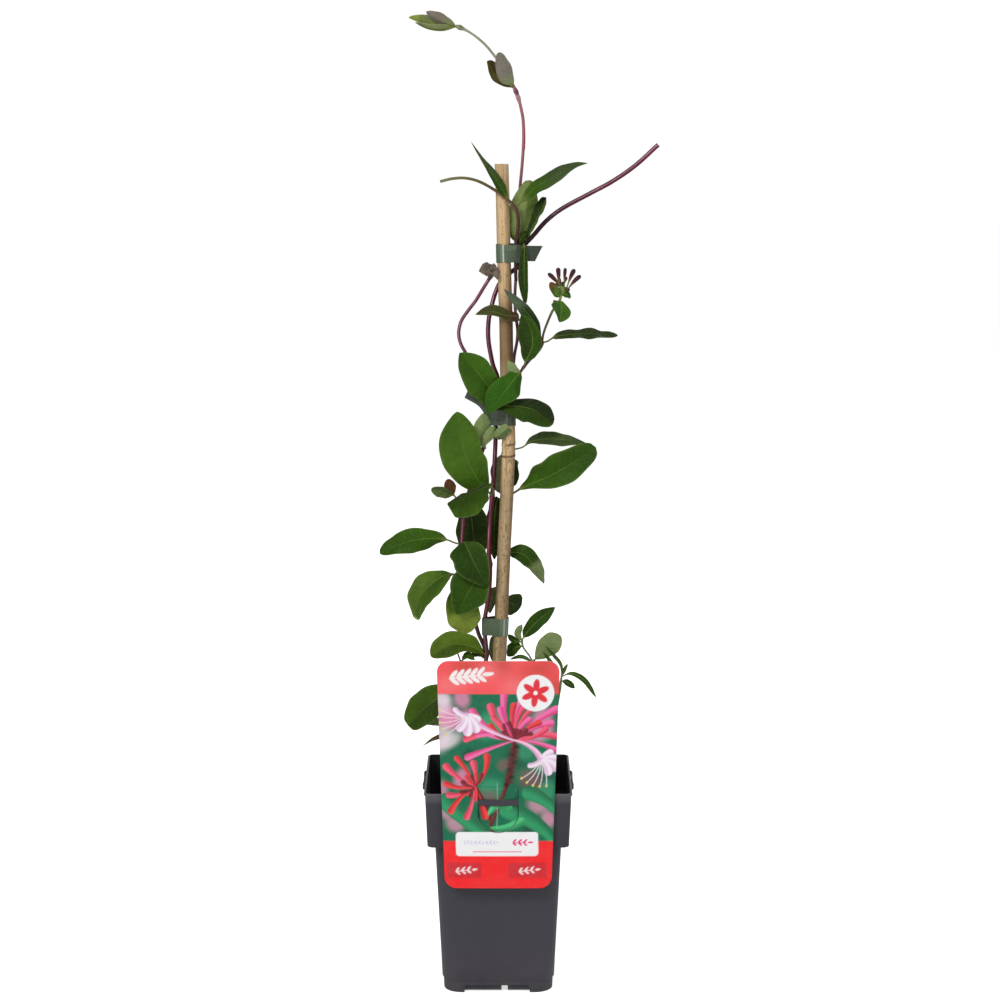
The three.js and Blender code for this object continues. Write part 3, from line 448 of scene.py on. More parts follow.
def cane_finish():
    """Bamboo: the cane's own tone with long fibres, and brown flecks that thicken lower down and to the
    left, with painted shade at its edges."""
    material, tree, shader = finish_of("bamboo_skin")
    tone = painted(tree, "tone")["Color"]
    fibre = noise(tree, upright(tree, 0.012), 1500.0, 3.0)
    broad = noise(tree, upright(tree, 0.1), 160.0, 3.0)
    specks = noise(tree, upright(tree, 0.45), 620.0, 5.0, 0.7)
    patch = noise(tree, upright(tree, 0.25), 90.0, 3.0)
    parts = put(tree, "SeparateXYZ", {0: object_place(tree)}).outputs
    up, right = parts[2], fit(tree, parts[0], -0.004, 0.012, 0.0, 0.05)
    least = calc(tree, "SUBTRACT", fit(tree, up, 0.3, 0.7, 0.635, 0.7), scaled(tree, patch, 0.2, right))
    fleck = fit(tree, calc(tree, "SUBTRACT", specks, least), 0.02, 0.06)
    body = tinted(tree, tone, shaded(tree, tone, (0.6, 0.52, 0.44)), fit(tree, fibre, 0.38, 0.66), 0.6)
    body = tinted(tree, body, rgb(140, 106, 68), fit(tree, broad, 0.48, 0.68), 0.6)
    body = tinted(tree, body, rgb(84, 52, 32), fleck, 0.6)
    # painted shade at the cane's edges
    body = edge_shade(tree, body, tone, (0.4, 0.3, 0.22), 0.5, 0.7)
    feed(tree, shader, scaled(tree, fleck, -0.4, fibre), 0.3, 0.0003, Base_Color=body,
         Roughness=scaled(tree, broad, 0.2, 0.42), Specular_IOR_Level=0.4)
    return material


def tape_finish():
    """Grey-green tie tape: soft plastic film, satin, with fine upright wrinkles."""
    material, tree, shader = finish_of("tie_film")
    tone, cloud = painted(tree, "tone")["Color"], cloud_of(tree, 120.0)
    wrinkle = noise(tree, upright(tree, 0.15), 260.0, 1.0)
    body = tinted(tree, tone, blend(tree, 0.5, tone, rgb(150, 168, 150)), cloud, 0.12)
    feed(tree, shader, wrinkle, 0.1, 0.0003, Base_Color=body, Roughness=scaled(tree, cloud, 0.08, 0.26),
         Specular_IOR_Level=0.55)
    return material


def print_finish():
    """Printed card: its own picture tones under a thin clear coat with a faint orange-peel."""
    material, tree, shader = finish_of("card_print")
    tone, cloud = painted(tree, "tone")["Color"], cloud_of(tree, 60.0)
    peel = noise(tree, object_place(tree), 700.0, 2.0)
    body = tinted(tree, tone, rgb(235, 232, 236), cloud, 0.02)
    feed(tree, shader, peel, 0.08, 0.0002, Base_Color=body, Roughness=scaled(tree, cloud, 0.12, 0.38),
         Coat_Weight=0.05, Specular_IOR_Level=0.25)
    return material


def board_finish():
    """The card's bare back and edges: off-white board with short fibres."""
    material, tree, shader = finish_of("card_board")
    fibres = noise(tree, upright(tree, 0.3), 900.0, 4.0)
    body = blend(tree, fit(tree, fibres, 0.4, 0.7), rgb(232, 231, 226), rgb(214, 212, 204))
    feed(tree, shader, fibres, 0.15, 0.0002, Base_Color=body, Roughness=0.7)
    return material


LEAF_SKIN = leaf_finish("leaf_skin", 0.28, (160, 185, 84), 6.2)
YOUNG_SKIN = leaf_finish("young_leaf_skin", 0.16, (175, 190, 120), 4.2)
BARK = stem_finish("stem_bark", 0.26)
BUD_SKIN = stem_finish("bud_skin", 0.42)
POT = pot_finish()
SOIL = soil_finish()
BAMBOO = cane_finish()
TAPE = tape_finish()
PRINT = print_finish()
BOARD = board_finish()


# ---------- leaves ----------
# Screen levels of the upper side and the underside.
TONES = {
    "dark": ((34, 56, 6), (92, 108, 70)),
    "deep": ((40, 71, 6), (104, 124, 78)),
    "green": ((47, 82, 6), (112, 132, 84)),
    "vivid": ((42, 86, 8), (112, 134, 82)),
    "fresh": ((65, 100, 20), (118, 140, 86)),
    "bright": ((73, 99, 20), (128, 150, 88)),
    "sage": ((86, 104, 54), (130, 148, 98)),
    "pale": ((102, 120, 64), (124, 142, 88)),
    "blue": ((48, 68, 38), (96, 114, 86)),
    "slate": ((64, 82, 46), (100, 116, 88)),
    "olive": ((70, 74, 34), (104, 112, 74)),
    "brown": ((84, 62, 42), (106, 86, 64)),
    "bronze": ((112, 68, 50), (126, 84, 66)),
    "mauve": ((104, 98, 92), (124, 118, 112)),
    "tip": ((108, 122, 72), (132, 144, 92)),
    "dry": ((112, 102, 98), (140, 130, 126)),
}
FRONT = (0, -1, 0.25)
UP_FRONT = (0, -0.8, 0.6)
UP = (0, -0.2, 1)
BACK = (0, 1, 0.15)

ROWS, COLUMNS = 36, 19


def blade_half(u, s, width, belly, blunt, point, margins):
    """Half-width of a blade at shares u of its length, s being below 0 on one side of its midrib.

    It is width/2 sin(pi u^belly)^p, with p going from blunt at the base to point at the tip. With
    margins it is r(u) sin(pi u)^p on each side, r being the straight-line mix, averaged over 0.08
    of u, that meets the given millimetres at each eighth.
    """
    def power(at):
        return blunt + (point - blunt) * step(0.45, 0.9, at)

    if margins is None:
        return np.clip(np.sin(np.pi * u ** belly), 0, None) ** power(u) * width / 2
    eighths = np.arange(1, 8) / 8
    sides = []
    for widths in margins:
        ratio = np.array(widths) / np.sin(np.pi * eighths) ** power(eighths)
        mixed = sum(share * np.interp(u + off, eighths, ratio)
                    for share, off in ((0.25, -0.04), (0.5, 0), (0.25, 0.04)))
        sides.append(mixed * np.clip(np.sin(np.pi * u), 0, None) ** power(u))
    return np.where(s < 0, *sides)


def blade_tones(s, u, seed, tone, left=None, right=None, rim=(120, 146, 70), rim_weight=0.22, tip=None,
                tip_from=0.8, foot=None, foot_to=0.2, petiole=(96, 104, 52), ribbed=1.0):
    """Tones of a blade's rings, with how strongly the rib shows as their fourth value, 0 below.

    left and right are the tones of the two halves, partly their own colour and partly painted light and
    shade of a lit and a shaded half, rim of the margin, tip of the end from tip_from on, foot of the base
    up to foot_to and petiole of the stalk. The upper side gets painted light and shade: softly lighter
    and darker by sines of u and s, one half darker than the other as if shaded by the fold at its midrib.
    """
    top, under = (rgb(*levels) for levels in TONES[tone])
    s = np.concatenate([s[0], s[0, ::-1]])[None, :, None]
    u = u[..., None]
    upper = 1.0 * (np.arange(2 * COLUMNS) < COLUMNS)[None, :, None]
    colours = laid(under, top, upper)
    for levels, half_side in ((left, -s), (right, s)):
        if levels is not None:
            colours = laid(colours, rgb(*levels), step(0.0, 0.12, half_side) * step(0.02, 0.2, u))
    # painted light and shade: the upper side lighter and darker by sines, one half darker as if shaded by the
    # fold
    shade = (0.13 * math.sin(2 * seed) * step(-0.15, 0.15, s) + 0.16 * np.sin(3.4 * u + seed)
             * np.cos(1.9 * s + 2 * seed) + 0.09 * np.sin(8 * u + 4 * s + 3 * seed))
    colours = colours * (0.98 + shade * upper)
    for levels, weight in ((rim, step(0.86, 1.0, np.abs(s)) * rim_weight),
                           (tip, step(tip_from, min(1.0, tip_from + 0.15), u)),
                           (foot, step(foot_to, foot_to * 0.3, u)),
                           (petiole, 1 - step(0, 0.1, u))):
        if levels is not None:
            colours = laid(colours, rgb(*levels), weight)
    return np.concatenate([colours, np.broadcast_to(ribbed * upper, colours.shape[:2] + (1,))], -1)


def leaf(path, width, face, tone="green", stalk=0.08, fold=0.25, wave=0.0, waves=2.0, twist=0.0,
         belly=1.0, blunt=0.6, cup=0.0, ripple=1.0, point=None, crumple=0.0, margins=None, **looks):
    """A leaf blade on its stalk, whose midrib follows the path; looks go to its tones.

    s runs from -1 to 1 across it, and half is its half-width, with a few percent of slow bays along
    each margin. The upper side looks to face, turned by twist radians from the foot to the tip.
    The surface stands off by fold (sqrt(s^2 + 0.01) - 0.1) half (a trough), + cup sin(pi |s|) half
    (a pillow on each side), + wave sin(2 pi waves u) sin(pi u) s^2 sign(s), + small ripples of the
    margin, + crumple sin(23 u + 4 s) sin(5 s + 9 u). The blade is a quarter of a millimetre thick
    at its margin and twice that at its rib, and the stalk is a round rod.
    """
    path = np.asarray(path, float)
    share = np.linspace(0, 1, ROWS + 1)
    t = share + 0.12 * np.sin(np.pi * share)
    middle, along, length = line_at(path, t)
    level = unit(np.cross(path[-1] - path[0], np.asarray(face, float)))
    across = unit(level - along * (along @ level)[:, None])
    t = t[:, None]
    across = across * np.cos(twist * t) + np.cross(along, across) * np.sin(twist * t)
    normal = np.cross(across, along)
    u = np.clip((t - stalk) / (1 - stalk), 0, 1)
    s = np.linspace(-1, 1, COLUMNS)[None, :]
    seed = abs(path[-1][0] * 0.37 + path[-1][2] * 0.11) % 6.28
    bays = (np.where(s > 0, np.sin(9 * u + seed), np.sin(10.5 * u + 2.3 * seed))
            + 0.6 * np.where(s > 0, np.sin(19 * u + 2 * seed), np.sin(17 * u + seed)))
    rod = 0.55 + 0.012 * width
    plain = blade_half(u, s, width, belly, blunt, blunt + 0.12 if point is None else point, margins)
    half = np.maximum(np.where(t < 0.5, rod, 0.12), plain) * (
        1 + 0.035 * ripple * bays * np.abs(s) * step(0.05, 0.2, u))
    blade = step(0, 0.12, u)
    lift = fold * (np.sqrt(s ** 2 + 0.01) - 0.1) * half + cup * np.sin(np.pi * np.abs(s)) * half
    lift = lift + wave * np.sin(2 * np.pi * waves * u) * np.sin(np.pi * u) * s * np.abs(s)
    edge = np.abs(s) ** 2.5 * half * 0.05 * ripple
    lift = lift + edge * (np.sin(15 * u + seed) * (s > 0) + np.sin(13 * u + 2 * seed) * (s < 0))
    lift = lift + edge * 0.6 * np.sin(31 * u + 3 * s + seed)
    lift = lift + crumple * np.sin(23 * u + 4 * s + seed) * np.sin(5 * s + 9 * u)
    lift = lift * blade
    thick = (0.12 + 0.14 * (1 - s ** 2)) * blade + rod * np.sqrt(np.clip(1 - s ** 2, 0.0, 1)) * (1 - blade)
    rib = 0.45 * (1 - u) ** 0.7 * bell(s * half, 0.7) * blade
    spot = middle[:, None, :] + across[:, None, :] * (s * half)[..., None]
    upper = spot + normal[:, None, :] * (lift + thick)[..., None]
    lower = spot + normal[:, None, :] * (lift - thick - rib)[..., None]
    rings = np.concatenate([upper, lower[:, ::-1]], 1)
    off = np.concatenate([s * half, (s * half)[:, ::-1]], 1)
    return of_rings(rings, blade_tones(s, u, seed, tone, **looks), points_of(t * length + 7 * seed, off, u))


# ---------- stems ----------
STEM_SIDES, STEM_GAP = 20, 1.8
# painted highlight: the colour of the pale line down each stem and its angle round the stem
HIGHLIGHT_TONE, HIGHLIGHT_ANGLE = rgb(226, 176, 186), 2.83


def stem(path, diameter, tones, knots=(), taper=1.0, painted_highlight=0.12):
    """A round stem along its path. Its radius is diameter/2, times 1 + swell e^-((l - knot)/2.4)^2 at
    each knot, and narrows in a straight line to taper times that at its end, with a waver of 3%.
    tones are (share of length, screen levels) pairs, mixed in a straight line between them. A pale
    painted highlight line of the strength painted_highlight, fainter where the bark is dark, runs along
    the side that faces the light: e^-((angle - 2.83) / 0.2)^2 round the stem."""
    length = line_at(path, [0, 1])[2]
    share = np.linspace(0, 1, max(6, int(length / STEM_GAP)) + 1)
    middle, along, _ = line_at(path, share)
    side = unit(np.array([0, 1, 0]) - along * along[:, 1:2])
    radius = diameter / 2 * (1 + (taper - 1) * share)
    run = share * length
    for x, y, z, *given in knots:
        swell = given[0] if given else 0.35
        at = run[np.argmin(np.linalg.norm(middle - (x, y, z), axis=1))]
        radius = radius * (1 + swell * bell(run - at, 2.4))
    angle = circle(STEM_SIDES)
    wobble = 1 + 0.03 * np.sin(3 * angle[None, :] + run[:, None] * 0.11)
    rings = rings_round(middle, along, side, radius[:, None] * wobble, angle)
    colours = tones_at(tones, share)
    # painted highlight: a pale line along the stem's lit side, standing in for the lamp's shine
    waver = (1 + 0.35 * np.sin(run * 0.09)) * np.clip(colours[:, 0] / 0.1, 0.1, 1)
    pale = painted_highlight * waver[:, None] * bell(angle[None, :] - HIGHLIGHT_ANGLE, 0.2)
    place = points_of(run[:, None], np.cos(angle) * diameter / 2, np.sin(angle) * diameter / 2)
    return of_rings(rings, laid(colours[:, None], HIGHLIGHT_TONE, pale[..., None]), place)


def grow(name, node, stems, leaves, skin_finish=LEAF_SKIN):
    """Two pieces that stand for one vine node: its stems and its leaves."""
    make(name + "_stems", stems, [BARK], node)
    make(name + "_leaves", leaves, [skin_finish], node, crease=60)


def from_soil(x, y):
    """The upright foot of a stem's path, in its hole in the compost."""
    return [(x, y, z) for z in (118, 150, 168)]


WINE = (100, 16, 48)
DEEP_WINE = (48, 6, 22)
MAGENTA = (122, 16, 54)
EARTH = (66, 50, 38)
SAGE_STEM = (120, 140, 90)

MAIN_PATH = from_soil(-12, -2) + [
    (-12, -2, 230), (-11.8, -1.5, 290), (-10.5, -1, 302), (-11.2, -1, 312), (-11.9, -1, 320),
    (-11.9, -1, 335), (-10.6, 0, 343), (-9, 1, 352), (-7.6, 1, 366), (-7.2, 1, 380), (-8.4, 1, 396),
    (-8, 1, 412), (-7, 1, 430), (-5.4, 2, 446), (-4, 3, 464), (-2.8, 3.8, 484), (-2.2, 4, 500),
    (-2, 4, 509), (-1.7, 4, 526), (-0.4, 6, 539), (-0.4, 8, 551), (-4.4, 6, 562), (-6.8, 4, 573),
    (-8.4, 3, 583), (-8.9, 3, 593), (-8, 3, 605), (-5.4, 4, 617), (-2.4, 7, 627), (2, 8.8, 636),
    (8, 9, 642), (13, 8.6, 646), (18, 6.6, 650), (19.4, 3.6, 656), (19.7, 1, 662), (20.8, 0, 668.4),
    (25.2, 0, 671.8), (31.2, 0, 678), (40.6, 0, 688.6), (50.6, 0, 697.2), (60.6, 1, 703.6), (80, 2, 713.8),
    (100, 3, 724.4), (120, 3, 738.4), (139.6, 3, 756)]
LEFT_PATH = from_soil(-11, 4.5) + [
    (-11, 4.3, 230), (-10.8, 4.2, 292), (-12.6, 3.4, 307), (-17.4, 2, 319), (-20.6, 0.8, 330),
    (-25, 0, 344), (-30, 0, 362), (-32.2, 0, 385), (-32.3, 0, 404), (-31.2, 0.3, 422), (-27, 1, 446),
    (-20, 1.4, 470), (-13, 1.6, 490), (-9.4, 1.5, 506), (-9, 1.5, 526)]
LEFT_THIN_PATH = [
    (-9, 1.5, 520), (-9.4, 1.6, 530), (-14, 2, 545), (-22, 2, 562), (-28.8, 1.5, 574), (-33.4, 1, 583),
    (-34.8, 0.5, 592), (-32.6, 0.3, 602), (-26.4, 0.6, 611.6), (-20, 1, 620), (-13.8, 1, 630),
    (-9.4, 1.6, 637), (-6, 3.4, 642), (-2.6, 7.6, 645), (1, 8.4, 646.5)]
TOP_PATH = from_soil(-3.4, 9) + [
    (-1, 8.8, 230), (1, 8.4, 292), (2.4, 8.2, 320), (2.7, 8.2, 336), (4, 9, 370), (5.4, 9, 400),
    (7.5, 9, 440), (9.6, 9, 480), (10.4, 8.3, 510), (10.5, 8.3, 526), (11.6, 8.3, 545), (13, 6.6, 558),
    (14.6, 5, 573), (16.6, 3.6, 584), (17.2, 3, 593), (16, 2.5, 604), (14.8, 2.2, 616), (14.8, 2.2, 628),
    (15.5, 2.4, 640), (15.8, 3.2, 652), (15.8, 3.4, 672), (17.4, 6, 690), (19, 7, 717), (20.8, 6, 737),
    (22.2, 4, 757)]
TIP_PATH = [
    (22, 4.4, 752), (22.3, 3, 764), (21.4, 1, 780), (17.2, -1, 797), (13, -2, 807), (5, -3, 821.2),
    (-3, -4, 832), (-11, -4, 841.4), (-20.8, -4, 849.6), (-30, -4, 855), (-37, -4, 857.6)]
CUT_PATH = [
    (15.6, 2.2, 638), (15.2, -1.6, 648), (15.3, -3, 655), (15.5, -3.4, 670), (17, -4, 680), (17.5, -5, 690),
    (16, -6.6, 699), (12, -8.4, 705.4), (6, -9.8, 711), (-1, -10, 716), (-11, -9, 722), (-20, -8, 725.8),
    (-30, -7, 727.6), (-40, -6, 727), (-50.5, -5, 724.6)]

fork_a, fork_b, over_tie = (-7.4, 1, 384), (-5.4, 2, 446), (-1.2, 5, 531.4)
grow("main", "stem_main", [
    stem(MAIN_PATH, 4, [(0, EARTH), (0.2, EARTH), (0.27, (84, 36, 46)), (0.33, MAGENTA), (0.42, MAGENTA),
                        (0.5, WINE), (0.56, DEEP_WINE), (0.62, WINE), (0.72, (104, 24, 56)),
                        (0.785, (34, 4, 16)), (0.82, (44, 4, 20)), (0.87, (84, 12, 38)), (1, (116, 32, 60))],
         [(-10.5, -1, 302), fork_a, fork_b, over_tie, (21.6, 0, 669.4)], painted_highlight=0.55),
], [
    leaf([(-12, -2, 228), (-14, -16, 238), (-12, -32, 240), (-8, -46, 232)], 22, (0, 0.2, 1), wave=1.5),
    leaf([(-12, -2, 228), (-20, 1, 234), (-30, 12, 237), (-40, 26, 230)], 22, UP, "deep", wave=1.5),
    leaf([(-11, -1, 300), (-20, -9, 309), (-40, -15, 314), (-60.6, -13, 302.6)], 25, (-0.1, -0.95, 0.35),
         "bright", blunt=0.45, left=(66, 88, 14), right=(84, 112, 26), rim_weight=0.5,
         margins=((4, 5.5, 5.8, 8.5, 10.8, 10.6, 6.3), (4.5, 9, 9.8, 11, 12, 11.5, 9.2))),
    leaf([(-11.4, -1.4, 297), (-17, -5, 304), (-25, -5, 300.6)], 9, UP_FRONT, "olive"),
    leaf([fork_a, (-13, -8, 380), (-25, -14, 364), (-37, -13, 341)], 36, (0.2, -1, 0.3), "green",
         rim=(120, 140, 80), rim_weight=0.5,
         margins=((6, 11, 14.5, 17.6, 17.5, 13, 7.5), (10, 15, 19, 20, 17.7, 12.8, 8))),
    leaf([fork_b, (-16, -8, 459), (-29.4, -16, 487), (-36.4, -14, 523.8)], 39.5, FRONT, "fresh",
         wave=1, fold=0.15, blunt=0.55,
         margins=((9, 16.2, 19.5, 22, 21.5, 18.2, 12), (7.5, 12.5, 16.2, 15.4, 16, 13.7, 10))),
    leaf([fork_b, (-5, -8, 454), (-7.6, -13, 457.4), (-16, -17, 455.4), (-26, -19, 451), (-45, -21, 442)], 42,
         (0, -0.85, -0.5), "deep", blunt=0.3, fold=0.7, stalk=0.29, point=0.15,
         left=(54, 86, 6), right=(56, 72, 44),
         margins=((9.6, 14, 15, 15.8, 16, 16, 14.2), (8, 11, 12, 12, 12, 10, 8))),
    leaf([(-2.1, 4, 500), (-3, -5, 499.6), (1, -9.2, 502.3), (5, -9.6, 506), (9.6, -9, 509.4)], 11, BACK,
         "sage", belly=1.6, blunt=0.5, point=0.12, left=(96, 112, 74)),
    leaf([over_tie, (-4.4, -6, 538.6), (-18, -9, 558), (-34, -7, 575)], 33, (-0.2, -1, 0.2), "green",
         blunt=0.5, point=0.8, cup=0.1, fold=0.3, left=(47, 82, 10), right=(52, 90, 12),
         margins=((12, 15, 17.5, 16, 14.8, 11.8, 8.6), (8, 10, 12, 13.4, 13.8, 11, 7.4))),
    leaf([over_tie, (-2, -6, 531), (6, -12, 529), (28, -14, 526.4), (48.6, -11, 512.4)], 25,
         (0.1, -0.9, 0.35), "dark", blunt=0.4, point=0.45, stalk=0.16, rim=(96, 84, 48), left=(30, 48, 14),
         right=(46, 74, 12), margins=((4, 6, 6.5, 8.2, 9.8, 10.2, 8.3), (5, 8, 12, 14.6, 13.3, 11.8, 8.2))),
    leaf([(22.4, 0, 670.4), (27, -5, 679), (32.6, -6, 690), (38, -6, 701), (41.6, -5, 711)], 13,
         (-0.7, -0.6, 0.3), "dark", fold=0.5, belly=1.7, blunt=0.45, point=0.28, ripple=2,
         right=(84, 102, 56), rim=(132, 150, 96), rim_weight=0.6),
    leaf([(21.4, 0, 669), (22.4, -6, 670.6), (22.8, -9, 662), (22.6, -9.8, 645), (24, -8, 618.4)],
         10, (0, -1, 0.1), "dark", fold=0.5, stalk=0.12, point=0.45, blunt=0.55, rim=(110, 130, 80),
         margins=((2.5, 3, 3.2, 3.4, 3.4, 3.1, 2.2), (3, 4, 5, 5.4, 5, 4.4, 3))),
])

fork_high, fork_low, young = (-32.3, 0, 402), (-31.2, 0, 372), (-39, -2, 446.6)
grow("left", "stem_left", [
    stem(LEFT_PATH, 3.7, [(0, EARTH), (0.4, EARTH), (0.5, (70, 40, 44)), (0.6, WINE), (0.85, WINE),
                          (1, DEEP_WINE)],
         [fork_high, fork_low, (-31.2, 0.3, 422), (-20, 1.4, 470)], painted_highlight=0.4),
    stem(LEFT_THIN_PATH, 3.1, [(0, DEEP_WINE), (0.3, WINE), (0.6, (112, 50, 76)), (1, (122, 62, 82))],
         [(-6, 3.2, 641)], painted_highlight=0.6),
    stem([(-29.6, 0.6, 432), (-34, -1, 440), young], 1.6, [(0, (96, 60, 50)), (1, (110, 100, 60))]),
], [
    leaf([fork_high, (-39, -2, 404), (-47, -3, 407.2), (-75, -8, 407.4), (-106, -4, 394.8)], 22.5,
         (-0.1, -0.9, 0.4), "green", stalk=0.2, wave=1, blunt=0.45,
         margins=((4.4, 9.2, 11.6, 12, 10.2, 7.8, 5.4), (6.6, 7.5, 10, 11.4, 9.8, 9.2, 7.8))),
    leaf([fork_high, (-30, -9, 405), (-22, -18, 390), (-11, -18, 368)], 37, (0.1, -1, 0.2), "deep",
         blunt=0.4, wave=1, point=0.55, rim=(110, 134, 70), rim_weight=0.5, right=(36, 66, 4),
         margins=((3, 11, 13.8, 13.8, 12.8, 9.5, 6), (6, 17.4, 16.2, 18.2, 16.7, 12.4, 6.6))),
    leaf([fork_low, (-43, -5, 376), (-57, -10, 370), (-70, -11, 356), (-74, -6, 335)], 28,
         (-0.35, -0.85, 0.4), "fresh", stalk=0.18, blunt=0.5, tip=(150, 165, 80), tip_from=0.93,
         fold=0.3, point=0.4, left=(64, 97, 18), right=(80, 110, 32),
         margins=((8, 12, 14.4, 14, 12.8, 11.4, 8.6), (6, 10.6, 12.6, 12.8, 11.6, 9.8, 6.2))),
    leaf([fork_low, (-32, -4, 360), (-31, -6, 342), (-27, -2.6, 321.4)], 32, (0, -0.98, 0.2), "bright",
         blunt=0.5, tip=(128, 148, 62), tip_from=0.5, rim=(150, 170, 90), rim_weight=0.6,
         margins=((6, 10, 13, 14, 14.5, 13.5, 8.7), (8, 13, 15, 16.4, 15.8, 14, 9.6))),
    leaf([young, (-42, -3, 452), (-45, -4, 462)], 10.6, (0.2, -1, 0), "bronze", rim=(110, 100, 60),
         point=0.45, rim_weight=0.5),
    leaf([young, (-48, -5, 450), (-59.6, -6, 453.4)], 11, (0, -0.95, -0.3), "sage", point=0.45),
    # painted shade: this leaf behind the stems takes the dark tone for the shadow it lies in
    leaf([(-31.2, 0.3, 423), (-26, 8, 432), (-23, 12, 414), (-22, 10, 384)], 30, FRONT, "dark", blunt=0.5),
    leaf([(-32.2, 0, 386), (-31, 14, 388), (-29, 30, 386), (-27, 46, 376)], 20, UP, "green", wave=1.5),
    leaf([(-20.4, 1.4, 469), (-24, 14, 478), (-31, 30, 480), (-36, 44, 471)], 22, UP, "fresh", wave=1.5),
    leaf([(-11, 1.5, 489), (-13.6, -3, 491), (-15.4, -4.6, 505), (-13, -4, 521)], 16, BACK, "sage",
         blunt=0.6, point=0.5, fold=0.4,
         margins=((3, 6, 7.5, 8.4, 8.8, 8, 5.4), (1.6, 3.8, 5.6, 6.8, 6.6, 5.4, 3.4))),
    leaf([(-3, 4, 500), (-2.6, -6, 508), (-7, -8.6, 503), (-14.6, -7, 491.6)], 9.5, BACK, "sage", fold=0.5,
         stalk=0.32, ripple=2, rim=(70, 88, 52), rim_weight=0.6),
    leaf([(-6, 3.2, 641), (-6.4, -2, 647), (-11, -4, 647.6), (-17, -4, 646.6)], 12.4, (0, -0.9, 0.4), "dry",
         wave=1.2, crumple=0.6, rim=(140, 128, 128), point=0.9, stalk=0.2, ripple=2),
    leaf([(-6, 3.2, 641), (-5, -6, 644), (-3.6, -8.6, 653.6)], 10, (0.3, -0.9, 0.2), "dry", wave=1.5,
         crumple=0.8, rim=(140, 128, 128)),
    leaf([(-6, 3.2, 641), (-5.6, -7, 645), (-3, -9.6, 646), (-0.6, -9.6, 639.4)], 6, (0, -0.9, 0.4),
         "dry", wave=1, crumple=0.5, rim=(140, 128, 128)),
])

